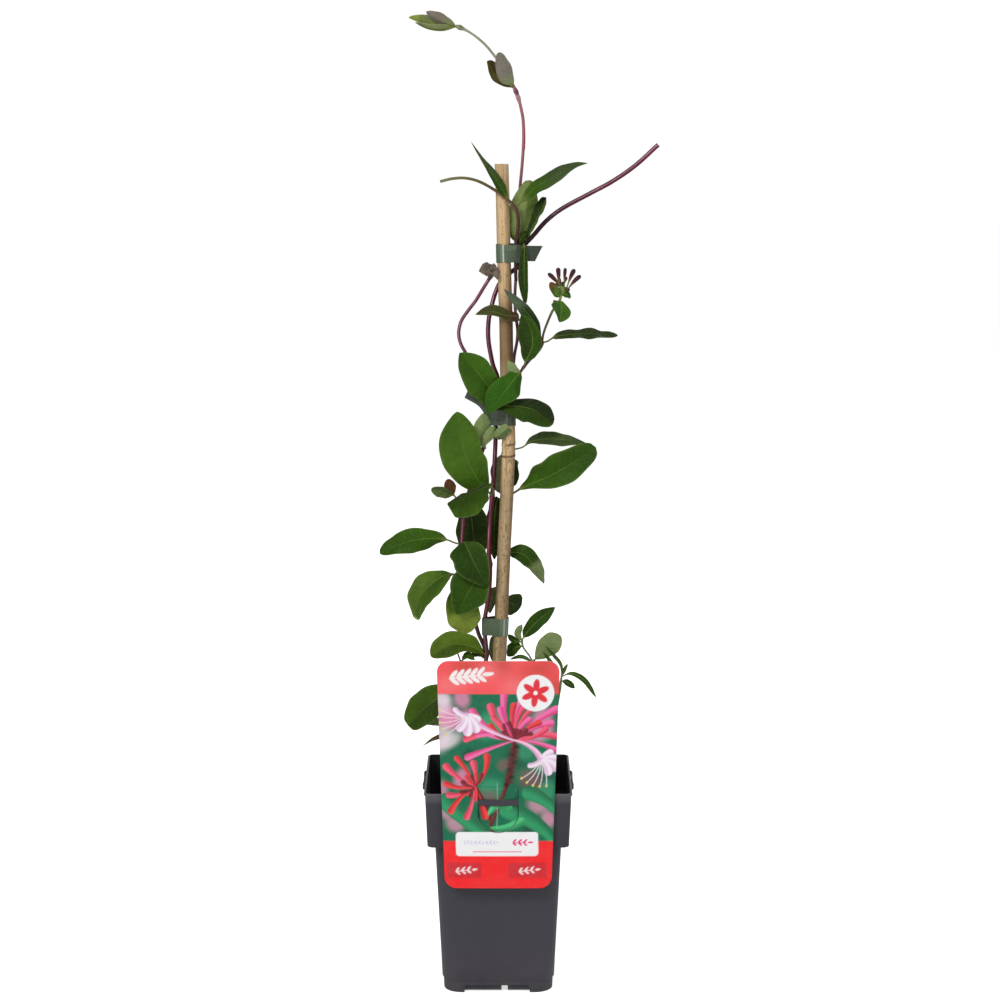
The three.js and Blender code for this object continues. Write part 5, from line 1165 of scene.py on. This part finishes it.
def cane_rings():
    """The cane: rings whose radius is 6.1, a little oval and uneven, with a raised ridge and a groove
    round each joint (sums of e^-(h/w)^2), and a ragged, slightly hollow cut top."""
    z = np.unique(np.concatenate([np.arange(12, 739, 3.0), np.arange(476, 500, 0.5), np.arange(208, 222, 0.5),
                                  [738.5, 739.4, CANE_TOP]]))[:, None]
    angle = circle(36)
    radius = CANE_RADIUS + 0.1 * np.cos(2 * angle + z / 190) + 0.06 * np.sin(3 * angle + z / 70)
    for joint, swell in ((492.6, 0.34), (483, 0.5), (216, 0.6), (211, 0.35)):
        bent = z - joint - 0.5 * np.sin(angle + joint)
        radius = radius + swell * bell(bent, 1.8) - 0.35 * bell(bent + 2.2, 0.6)
    lip = bell(z - GROOVE + 0.8 * np.cos(angle), 0.7) * step(0.2, 0.8, np.cos(angle + 0.9))
    radius = radius - 0.55 * lip
    ragged = 0.22 * np.sin(5 * angle + 1) + 0.14 * np.sin(11 * angle)
    outer = points_of(cane_x(z) + radius * np.cos(angle), radius * np.sin(angle),
                      z + np.where(z > 738.2, ragged - 0.7, 0))
    r = np.array([5.9, 4.9, 4.4, 4.1, 3.9, 0.5])[:, None]
    h = np.array([739.5, 739.3, 738.6, 736, 734, 733.6])[:, None]
    inner = points_of(cane_x(CANE_TOP) + r * np.cos(angle), r * np.sin(angle), h + 0.6 * ragged * (h > 738))
    return np.concatenate([outer, inner])


def cane_tone(rings):
    """The cane's tone: tan, greyer low down and paler at its upper joint, which has two dark lines, darker
    brown at three quarters of its height, with painted shade on its right side away from the light that
    deepens near that height, browner in streaks on its left, pale at its cut and brown inside it."""
    up = rings[..., 2:]
    angle = circle(36)[None, :, None]
    around = np.broadcast_to(np.cos(angle + 0.25), up.shape)
    # painted shade on the right side away from the light, deeper between about 550 and 650 mm
    deeper_right_shade = 0.3 * step(550, 575, up) * step(650, 620, up)
    off = up - 0.8 * np.sin(angle + 0.6)
    painted_right_shade = step(0.25, 0.95, around) * step(750, 600, up) * (0.5 + 0.12 * np.sin(up / 17) + deeper_right_shade)
    # browner in streaks on the left side
    left_streaks = step(0.5, 0.98, -around) * (0.42 + 0.16 * np.sin(up / 23 + 1) * np.sin(up / 7))
    joint = 0.9 * bell(off - GROOVE, 0.9) * step(-0.5, 0.2, around) + 0.95 * bell(off - RIDGE, 1.0)
    tone = rgb(220, 188, 142) * np.ones(rings.shape)
    for levels, weight in (
            ((112, 80, 46), 0.75 * step(545, 572, up) * step(632, 602, up)),
            ((152, 140, 106), 0.45 * step(475, 440, up)),
            ((236, 206, 156), 0.7 * step(462, 482, up) * step(512, 500, up)),
            ((104, 74, 46), painted_right_shade), ((122, 94, 60), left_streaks), ((72, 40, 24), joint)):
        tone = laid(tone, rgb(*levels), weight)
    tone[-6:-3] = rgb(206, 196, 156)
    tone[-3:] = rgb(120, 96, 66)
    return tone


rings = cane_rings()
make("bamboo_cane", [of_rings(rings, cane_tone(rings))], [BAMBOO], "cane")


# ---------- ties ----------
TAPE_TONE = rgb(79, 95, 70)
TAPE_OFF, TAPE_THICK = 0.3, 0.45
CANE_HELD = 6.15
# Painted highlights and painted shade in bands round a tie: angle, width, screen levels, strength.
PAINTED_TIE_LIGHT = ((3.75, 0.16, (186, 202, 180), 0.75), (4.25, 0.14, (194, 204, 184), 0.6),
         (4.9, 0.3, (94, 114, 86), 0.6), (5.5, 0.25, (44, 56, 40), 0.75),
         (3.3, 0.12, (118, 132, 110), 0.8), (0.2, 0.3, (58, 72, 54), 0.7))
# painted highlights and painted shade round the top tie
PAINTED_TOP_TIE_LIGHT = ((3.3, 0.4, (60, 74, 56), 0.7), (4.0, 0.2, (88, 106, 82), 0.6), (4.4, 0.2, (118, 134, 110), 0.7),
             (4.64, 0.08, (224, 230, 224), 0.85), (4.86, 0.06, (94, 110, 84), 0.85),
             (4.96, 0.09, (42, 54, 40), 0.95), (5.4, 0.2, (90, 106, 84), 0.5), (0.2, 0.3, (58, 72, 54), 0.7))


def wrapped(angle):
    """An angle brought between -pi and pi."""
    return np.mod(angle + np.pi, 2 * np.pi) - np.pi


def tie(low, high, stems, seed, shift=0.0, tie_shade=1.0, bands=PAINTED_TIE_LIGHT):
    """A band of tape round the cane and its stems.

    At each level its outline is the outer hull of the round sections there: for each direction the
    section that reaches furthest. The band stands 0.3 mm off it, with soft creases that run up it,
    and is 0.45 mm thick; both edges are closed. Painted highlights and painted shade go round it in
    bands (sums of e^-((a - band) / width)^2), turned by shift, and tie_shade darkens the whole tie and
    weakens its bands as painted shade.
    """
    count, rows = 96, 14
    angle = circle(count)
    look = np.stack([np.cos(angle), np.sin(angle)], -1)
    rng = np.random.default_rng(seed)
    crease = sum(rng.uniform(0.15, 0.5) * np.exp(-wrapped(angle - at) ** 2 / 0.004)
                 for at in rng.uniform(0, 6.28, 9))
    lines = [(line_at(path, np.linspace(0, 1, 400))[0], diameter) for path, diameter in stems]
    shells = np.empty((2, rows, count, 3))
    for k, z in enumerate(np.linspace(low, high, rows)):
        held = [(cane_x(z), 0.0, CANE_HELD)]
        for middle, diameter in lines:
            held += [(x, y, diameter / 2) for x, y in middle[np.abs(middle[:, 2] - z) < 1.5, :2]]
        held = np.array(held)
        best = held[(held[:, :2] @ look.T + held[:, 2:]).argmax(0)]
        for shell, off in zip(shells, (TAPE_OFF, TAPE_OFF + TAPE_THICK)):
            out = best[:, 2] + off + crease * (0.6 + 0.4 * math.sin(z * 0.5))
            shell[k] = np.column_stack([best[:, :2] + look * out[:, None], np.full(count, z)])
    edge = 0.35 * np.sin(3 * angle + seed) + 0.2 * np.sin(7 * angle)
    shells[:, 0, :, 2] += edge
    shells[:, -1, :, 2] += edge[::-1]
    rings = np.concatenate([shells[0, ::-1], shells[1]])
    quads = skin(len(rings) + 1, count, closed=False) % (len(rings) * count)
    # painted shade by tie_shade over the whole tape, then painted highlight and shade bands round it
    tone = np.tile(TAPE_TONE * tie_shade, (count, 1))
    for where, wide, levels, weight in bands:
        mask = weight * tie_shade * bell(wrapped(angle - where - shift), wide)
        tone = laid(tone, rgb(*levels), mask[:, None])
    return rings.reshape(-1, 3), quads, np.broadcast_to(tone, rings.shape), None


def tail(path, rise, height, tone, cut=0.0):
    """A free end of tape: a flat strip along its path with its height along rise, closed all round,
    0.45 mm thick, with a slight curl across (0.5 s^2), a small waver and an end cut to a slant."""
    share = np.linspace(0, 1, 22)
    middle, along, _ = line_at(path, share)
    up = unit(np.asarray(rise, float))
    out = unit(np.cross(along, up))
    s, share = np.linspace(-1, 1, 9), share[:, None]
    front = (middle[:, None] + up * (s * height / 2)[None, :, None]
             + along[:, None] * (cut * s * share ** 3)[..., None]
             + out[:, None] * (0.5 * s ** 2 + 0.15 * np.sin(9 * share + 2 * s))[..., None])
    return of_rings(np.concatenate([front, (front - out[:, None] * TAPE_THICK)[:, ::-1]], 1), tone)


MAIN, LEFT, TOP, CUT_SHOOT = (MAIN_PATH, 4), (LEFT_PATH, 3.7), (TOP_PATH, 2.7), (CUT_PATH, 3)
for name, tape in (
        ("tie_low", [tie(319.5, 335, [MAIN, TOP], 2, 1.4, 0.9)]),
        # painted shade: the middle tie and its tail, in the leaves' shadow, are darker
        ("tie_middle", [tie(510, 524, [MAIN, LEFT, TOP], 5, 0.3, 0.36),
                        tail([(-8, -1.4, 518), (-15.6, -3, 530), (-28.4, -4, 538)], (0.4, 0, 0.92), 7,
                             rgb(54, 62, 54))]),
        ("tie_top", [tie(654, 670, [MAIN, TOP, CUT_SHOOT], 7, bands=PAINTED_TOP_TIE_LIGHT),
                     tail([(15.6, -5.5, 662.2), (24, -6, 662.2), (35.6, -5.6, 662)], (0.28, 0, 1), 14,
                          rgb(48, 58, 42), 1.5)])):
    make(name + "_tape", tape, [TAPE], name)


# ---------- card ----------
CORAL, SCARLET = (255, 88, 92), (255, 34, 38)
# The dark and the light tone of each kind of tube.
PINK, ROSE = ((214, 20, 108), (255, 120, 184)), ((206, 24, 66), (255, 98, 128))
RED, MAROON = ((176, 8, 24), (250, 74, 76)), ((66, 6, 22), (150, 40, 56))
LILAC, THREAD = ((214, 150, 206), (255, 244, 255)), ((236, 200, 222), (255, 246, 250))
TWIG, BLADE = ((52, 10, 18), (126, 52, 50)), ((0, 92, 58), (44, 160, 104))
SEAL_X, SEAL_Z = 32.7, 282.6
PANEL_X, PANEL_Z = -1, 145.4


class Paint:
    """A picture worked out at given places of the card, x across and z up, laid colour by colour."""

    def __init__(self, x, z, levels):
        self.x, self.z = x, z
        self.colour = np.broadcast_to(rgb(*levels), x.shape + (3,)).copy()

    def lay(self, levels, mask):
        """Lays a colour, given as screen levels, by a mask."""
        self.colour = laid(self.colour, rgb(*levels), mask[..., None])

    def blot(self, cx, cz, wide, tall, turn=0.0):
        """Soft oval mask e^-(q^2) with q the distance in half-axes."""
        x, z = swing(self.x - cx, self.z - cz, -turn)
        return bell(x, wide) * bell(z, tall)

    def tube(self, foot, bend, mouth, colours, thin, wide, power=1.0):
        """A curved taper: the nearest place on a quadratic curve through the three points, whose
        half-width grows from thin to wide, shaded from dark to light across it."""
        foot, bend, mouth = np.array((foot, bend, mouth), float)
        q = np.linspace(0, 1, max(12, int(np.hypot(*(mouth - foot)) * 1.6)))[:, None]
        p = (1 - q) ** 2 * foot + 2 * q * (1 - q) * bend + q ** 2 * mouth
        low, high = p.min(0) - wide - 1, p.max(0) + wide + 1
        near = (self.x > low[0]) & (self.x < high[0]) & (self.z > low[1]) & (self.z < high[1])
        at = np.stack([self.x[near], self.z[near]], -1)
        gap = np.linalg.norm(at[:, None] - p[None], axis=-1)
        best = gap.argmin(1)
        width = thin + (wide - thin) * (best / (len(q) - 1)) ** power
        run = unit(np.gradient(p, axis=0))[best]
        off = at - p[best]
        side = (run[:, 0] * off[:, 1] - run[:, 1] * off[:, 0]) / width
        dark, light = (rgb(*levels) for levels in colours)
        glow = (0.25 + 0.75 * step(-0.8, 0.5, side) - 0.3 * step(0.5, 1.0, side))[:, None]
        mask = step(width + 0.4, width - 0.4, gap.min(1))[:, None]
        self.colour[near] = laid(self.colour[near], dark + (light - dark) * glow, mask)

    def ray(self, foot, angle, curl, reach, knee, colours, thin, wide, power=1.0):
        """A tube from a foot at an angle, with its bend at a share knee of its reach, curled off it."""
        mouth, bend = ((foot[0] + far * math.cos(a), foot[1] + far * math.sin(a))
                       for far, a in ((reach, angle), (knee * reach, angle + curl)))
        self.tube(foot, bend, mouth, colours, thin, wide, power)
        return mouth

    def fan(self, foot, first, last, near, far, kinds, count, rng, wide):
        """Tubes that spread from a foot between two angles, with uneven lengths and curls."""
        for k in rng.permutation(count):
            a = first + (last - first) * (k + 0.5) / count + rng.uniform(-0.08, 0.08)
            reach, curl = rng.uniform(near, far), rng.uniform(-0.45, 0.45)
            kind, swell = kinds[k % len(kinds)], rng.uniform(0.8, 1.1)
            self.ray(foot, a, curl, reach, 0.55, kind, 0.8, wide * swell, 1.5)

    def open_flower(self, foot, bend, mouth, turn):
        """A pale open flower: its tube, five petals and five long threads with yellow tips."""
        self.tube(foot, bend, mouth, ((226, 130, 190), (255, 216, 240)), 0.9, 3.0)
        for spread, reach, wide in ((2.1, 10, 3.4), (1.45, 14, 4.2), (0.9, 14, 4.4), (0.35, 12, 3.8),
                                    (-1.3, 11, 2.4)):
            self.ray(mouth, turn + spread, 0.3, reach, 0.6, LILAC, 2.2, wide)
        for spread in (-1.0, -0.75, -0.5, -0.25, 0.0):
            end = self.ray(mouth, turn + spread, 0.25, 24, 13 / 24, THREAD, 0.45, 0.4)
            self.lay((236, 214, 120), step(1.5, 0.8, np.hypot(self.x - end[0], self.z - end[1])))

    def sprig(self, cx, cz, size, levels, count, lean):
        """A little stem with paired leaves, drawn flat."""
        for k in range(count):
            along = (k / (count - 1) - 0.5) * 2 * size
            for turn in (0.75, -0.75) if k < count - 1 else (0.0,):
                reach = size * (0.3 if turn else 0.22)
                x, z = swing(along + reach * math.cos(turn), reach * math.sin(turn), lean)
                oval = self.blot(cx + x, cz + z, 0.36 * size, 0.13 * size, lean + turn)
                self.lay(levels, step(0.33, 0.5, oval))
        x, z = swing(-0.1 * size, 0, lean)
        self.lay(levels, step(0.3, 0.5, self.blot(cx + x, cz + z, size, 0.06 * size, lean)))


def flower_picture(x, z):
    """A blurred green ground with blots of pink, a few blades and twigs, and long tube flowers."""
    rng = np.random.default_rng(12)
    art = Paint(x, z, (10, 112, 78))
    for count, levels, low, high, weight in (
            (9, (0, 70, 50), 150, 230, 0.7), (8, (60, 168, 122), 160, 280, 0.6),
            (7, (246, 150, 196), 205, 282, 0.65), (4, (250, 226, 240), 236, 280, 0.6),
            (4, (150, 90, 100), 160, 262, 0.5), (5, (255, 170, 210), 156, 210, 0.5)):
        for _ in range(count):
            cx, cz = rng.uniform(-52, 52), rng.uniform(low, high)
            if levels[0] > 200 and abs(cx) < 26:
                cx += math.copysign(24, cx)
            mask = art.blot(cx, cz, rng.uniform(6, 14), rng.uniform(5, 12), rng.uniform(0, 3))
            art.lay(levels, weight * step(0.1, 0.8, mask))
    for row in (((48, 150), (34, 168), (10, 176), BLADE, 4.5, 9),
                ((-2, 150), (-20, 158), (-46, 184), BLADE, 4, 8),
                ((54, 172), (44, 186), (28, 192), BLADE, 3.5, 7),
                ((-4, 150), (-8, 178), (-20, 198), TWIG, 1.5, 1.3),
                ((-6, 164), (10, 196), (14, 238), TWIG, 1.6, 2.2)):
        art.tube(*row)
    for k in range(16):
        share = k / 15
        place = (9 + 6 * share + (1.6 if k % 2 else -1.6), 200 + 34 * share)
        art.lay((96, 30, 34) if k % 3 else (40, 6, 12), art.blot(*place, 2.6, 2.2))
    for foot, first, last, near, far, kinds, count, wide in (
            ((14, 240), -0.5, 3.7, 34, 46, (PINK, ROSE, PINK), 12, 3.4),
            ((14, 240), 0.1, 3.1, 22, 32, (ROSE, RED, PINK), 9, 2.8),
            ((14, 240), 0.3, 2.9, 9, 17, (MAROON,), 9, 2.0),
            ((-20, 198), 0.9, 5.2, 20, 32, (RED, ROSE), 9, 3.2),
            ((-20, 198), 1.0, 4.9, 8, 15, (MAROON, RED), 10, 1.9)):
        art.fan(foot, first, last, near, far, kinds, count, rng, wide)
    art.open_flower((14, 240), (-14, 250), (-28, 262), 3.9)
    art.open_flower((14, 240), (32, 236), (38, 222), 4.9)
    art.tube((-8, 172), (-2, 184), (8, 180), ((0, 132, 76), (96, 216, 140)), 1.0, 4.6, 0.5)
    art.tube((-6, 160), (8, 158), (20, 166), ((0, 120, 70), (80, 200, 128)), 1.0, 4.0, 0.5)
    return art


def card_picture(x, z):
    """The card's print at a place: the flowers, a coral band above and a red one below, a plain
    white disc and a plain white panel, and flat leaf sprigs."""
    art = flower_picture(x, z)
    coral = Paint(x, z, CORAL)
    for cx, cz, wide, levels in (
            (-6, 303, 18, (255, 128, 130)), (14, 289, 12, (255, 128, 130)), (-44, 290, 16, (255, 128, 130)),
            (-28, 306, 14, (206, 74, 62)), (36, 304, 18, (206, 74, 62)), (50, 288, 10, (206, 74, 62)),
            (4, 308, 9, (206, 74, 62))):
        coral.lay(levels, 0.7 * coral.blot(cx, cz, wide, 9, 0.3))
    coral.sprig(-27, 297.5, 15, (255, 246, 246), 6, 0.12)
    base = Paint(x, z, SCARLET)
    for cx, wide in ((-30, 15), (26, 17)):
        patch = step(wide + 0.4, wide - 0.4, np.abs(x - cx)) * step(7.4, 6.6, np.abs(z - 121))
        base.lay((206, 40, 52), 0.75 * patch)
        base.sprig(cx, 121, 7.5, (255, 226, 226), 4, 0.1)
    for band, mask in ((coral, step(281.2, 282, z)), (base, step(148.4, 147.6, z))):
        art.colour = laid(art.colour, band.colour, mask[..., None])
    off_seal = np.hypot(x - SEAL_X, z - SEAL_Z)
    art.lay((252, 251, 252), step(16.7, 16.1, off_seal))
    for k in range(6):
        a = k * math.pi / 3 + 0.4
        mask = art.blot(SEAL_X + 6.6 * math.cos(a), SEAL_Z + 6.6 * math.sin(a), 6.4, 3.0, a)
        art.lay((236, 48, 60), step(0.3, 0.5, mask))
    art.lay((252, 251, 252), step(2.2, 1.6, off_seal))
    off_x, off_z = np.abs(x - PANEL_X), np.abs(z - PANEL_Z)
    art.lay((253, 252, 253), step(3.3, 2.7, np.hypot(np.maximum(off_x - 33.4, 0), np.maximum(off_z - 8, 0))))
    art.lay((240, 90, 120), step(0.5, 0.2, np.abs(z - 138.4)) * step(22, 21.4, off_x))
    art.sprig(20, 146.8, 7, (236, 30, 120), 4, 0.0)
    for cx in (-26, -16, -6):
        art.sprig(cx, 146.8, 4.4, (214, 216, 236), 4, 0.0)
    return art


CARD_LOW, CARD_HIGH, CARD_ROUND = 104.6, 311.3, 10.5
LOW_HALF, HIGH_HALF = 47.3, 54
FRONT_Y, CUT, HINGE, CUT_LOW = -68.9, 18.1, 197.5, 173.6
TONGUE, TONGUE_TUCK, BOARD_THICK = 17.6, 2.9, 0.6
QUARTER = np.pi / 2
SIDE_COLUMNS, MIDDLE_COLUMNS = 60, 49


def card_half(z):
    """Half-width of the card at a height: straight tapering sides, corners of 10.5 mm radius."""
    side = LOW_HALF + (HIGH_HALF - LOW_HALF) * (z - CARD_LOW) / (CARD_HIGH - CARD_LOW)
    above = np.clip(z - (CARD_HIGH - CARD_ROUND), 0, CARD_ROUND)
    below = np.clip(CARD_LOW + CARD_ROUND - z, 0, CARD_ROUND)
    return side - CARD_ROUND + np.sqrt(np.clip(CARD_ROUND ** 2 - (above + below) ** 2, 0, None))


def cut_half(z):
    """Half-width of the U-shaped cut: straight, then a half circle, and nothing below it."""
    drop = np.clip(CUT_LOW - z, 0, CUT)
    return np.where(z < CUT_LOW - CUT, 0, np.sqrt(np.clip(CUT ** 2 - drop ** 2, 0, None)))


def sheet_part(z, left, right, columns):
    """A grid between two edges that are functions of the height. The card bows: its sides stand
    0.9 (x / 54)^2 back from its middle."""
    x = laid(left[:, None], right[:, None], np.linspace(0, 1, columns)[None, :])
    return points_of(x, FRONT_Y + 0.9 * (x / HIGH_HALF) ** 2, z[:, None])


def grid_quads(rows, columns):
    """Quads of an open grid, facing -Y when columns run along +X and rows up."""
    i, k = np.meshgrid(np.arange(rows - 1), np.arange(columns - 1), indexing="ij")
    a = i * columns + k
    return np.stack([a, a + 1, a + 1 + columns, a + columns], -1).reshape(-1, 4)


def card_rows(low, high):
    """Heights from low to high, three quarters of a millimetre apart or nearly."""
    return np.linspace(low, high, int(round((high - low) / 0.75)) + 1)


round_end = (1 - np.cos(np.linspace(0, QUARTER, 14))) * CARD_ROUND
z_low = np.concatenate([CARD_LOW + round_end, card_rows(CARD_LOW + CARD_ROUND, CUT_LOW - CUT)[1:]])
z_mid = np.concatenate([CUT_LOW - CUT * np.cos(np.linspace(0, QUARTER, 34)), card_rows(CUT_LOW, HINGE)[1:]])
z_high = np.concatenate([card_rows(HINGE, CARD_HIGH - CARD_ROUND), CARD_HIGH - round_end[::-1][1:]])
z_sides = np.concatenate([z_low, z_mid[1:], z_high[1:]])
edge, inner = card_half(z_sides), np.where(z_sides > HINGE - 0.01, CUT, cut_half(z_sides))
above_cut = np.full(len(z_high), CUT)
z_tongue = np.concatenate([CUT_LOW - TONGUE * np.cos(np.linspace(0.12, QUARTER, 26)),
                           card_rows(CUT_LOW, HINGE + 0.6)[1:]])
drop = np.clip(CUT_LOW - z_tongue, 0, TONGUE)
tongue_half = np.sqrt(TONGUE ** 2 - np.minimum(drop, TONGUE - 0.1) ** 2) * 1.02
tongue = sheet_part(z_tongue, -tongue_half, tongue_half, MIDDLE_COLUMNS)
tongue[..., 1] += TONGUE_TUCK * step(HINGE, HINGE - 11, tongue[..., 2]) * step(157, 174, tongue[..., 2])
card = []
for part in (sheet_part(z_sides, -edge, -inner, SIDE_COLUMNS), sheet_part(z_sides, inner, edge, SIDE_COLUMNS),
             sheet_part(z_high, -above_cut, above_cut, MIDDLE_COLUMNS), tongue):
    x, z = part[..., 0], part[..., 2]
    art = card_picture(x, z)
    fold = step(0.5, 0.15, np.abs(x + 1)) * step(158, 163, z) * step(204, 198, z)
    art.lay((196, 222, 208), 0.55 * fold)
    card.append((part.reshape(-1, 3), grid_quads(*part.shape[:2]), art.colour, None))
sheet = make("picture_card", card, [PRINT, BOARD], "label_card", crease=30)
welded = bmesh.new()
welded.from_mesh(sheet.data)
bmesh.ops.remove_doubles(welded, verts=welded.verts, dist=1e-6)
welded.to_mesh(sheet.data)
welded.free()
board = sheet.modifiers.new("board", "SOLIDIFY")
board.thickness = BOARD_THICK * MM
board.offset = -1
board.material_offset = 1
board.material_offset_rim = 1

# ---------- floor, light ----------
WHITE = (1, 1, 1, 1)
FLOOR_HALF = 14
SKY_GLOW, SEEN_GLOW = 0.36, 0.66
corners = [(x * FLOOR_HALF, y * FLOOR_HALF, 0) for x, y in ((-1, -1), (1, -1), (1, 1), (-1, 1))]
floor_mesh = bpy.data.meshes.new("floor")
floor_mesh.from_pydata(corners, [], [(0, 1, 2, 3)])
floor = bpy.data.objects.new("floor", floor_mesh)
bpy.context.collection.objects.link(floor)
material, tree, shader = finish_of("studio_floor")
feed(tree, shader, Base_Color=rgb(250, 250, 250), Roughness=0.8, Specular_IOR_Level=0.0)
shader.inputs["Emission Color"].default_value = WHITE
seen = put(tree, "LightPath").outputs["Is Camera Ray"]
tree.links.new(times(tree, seen, SEEN_GLOW), shader.inputs["Emission Strength"])
floor_mesh.materials.append(material)

world = bpy.data.worlds.new("studio")
bpy.context.scene.world = world
world.use_nodes = True
sky = world.node_tree
sky.nodes["Background"].inputs[0].default_value = WHITE
seen = put(sky, "LightPath").outputs["Is Camera Ray"]
sky.links.new(scaled(sky, seen, SEEN_GLOW, SKY_GLOW), sky.nodes["Background"].inputs[1])


def area(name, place, target, size, power):
    """A square soft light that faces a target."""
    light = bpy.data.lights.new(name, "AREA")
    light.size, light.energy = size, power
    made = bpy.data.objects.new(name, light)
    made.location = place
    x, y, z = unit(np.array(target, float) - np.array(place, float))
    made.rotation_euler = (math.acos(-z), 0, math.atan2(y, x) - math.pi / 2)
    bpy.context.collection.objects.link(made)


area("key", (-1.1, -1.8, 2.0), (0, 0, 0.45), 0.8, 32)
area("fill", (1.7, -1.5, 0.9), (0, 0, 0.45), 1.0, 7)
area("back", (0.4, 1.8, 1.7), (0, 0, 0.5), 1.4, 15)
bpy.context.scene.view_settings.view_transform = "Standard"
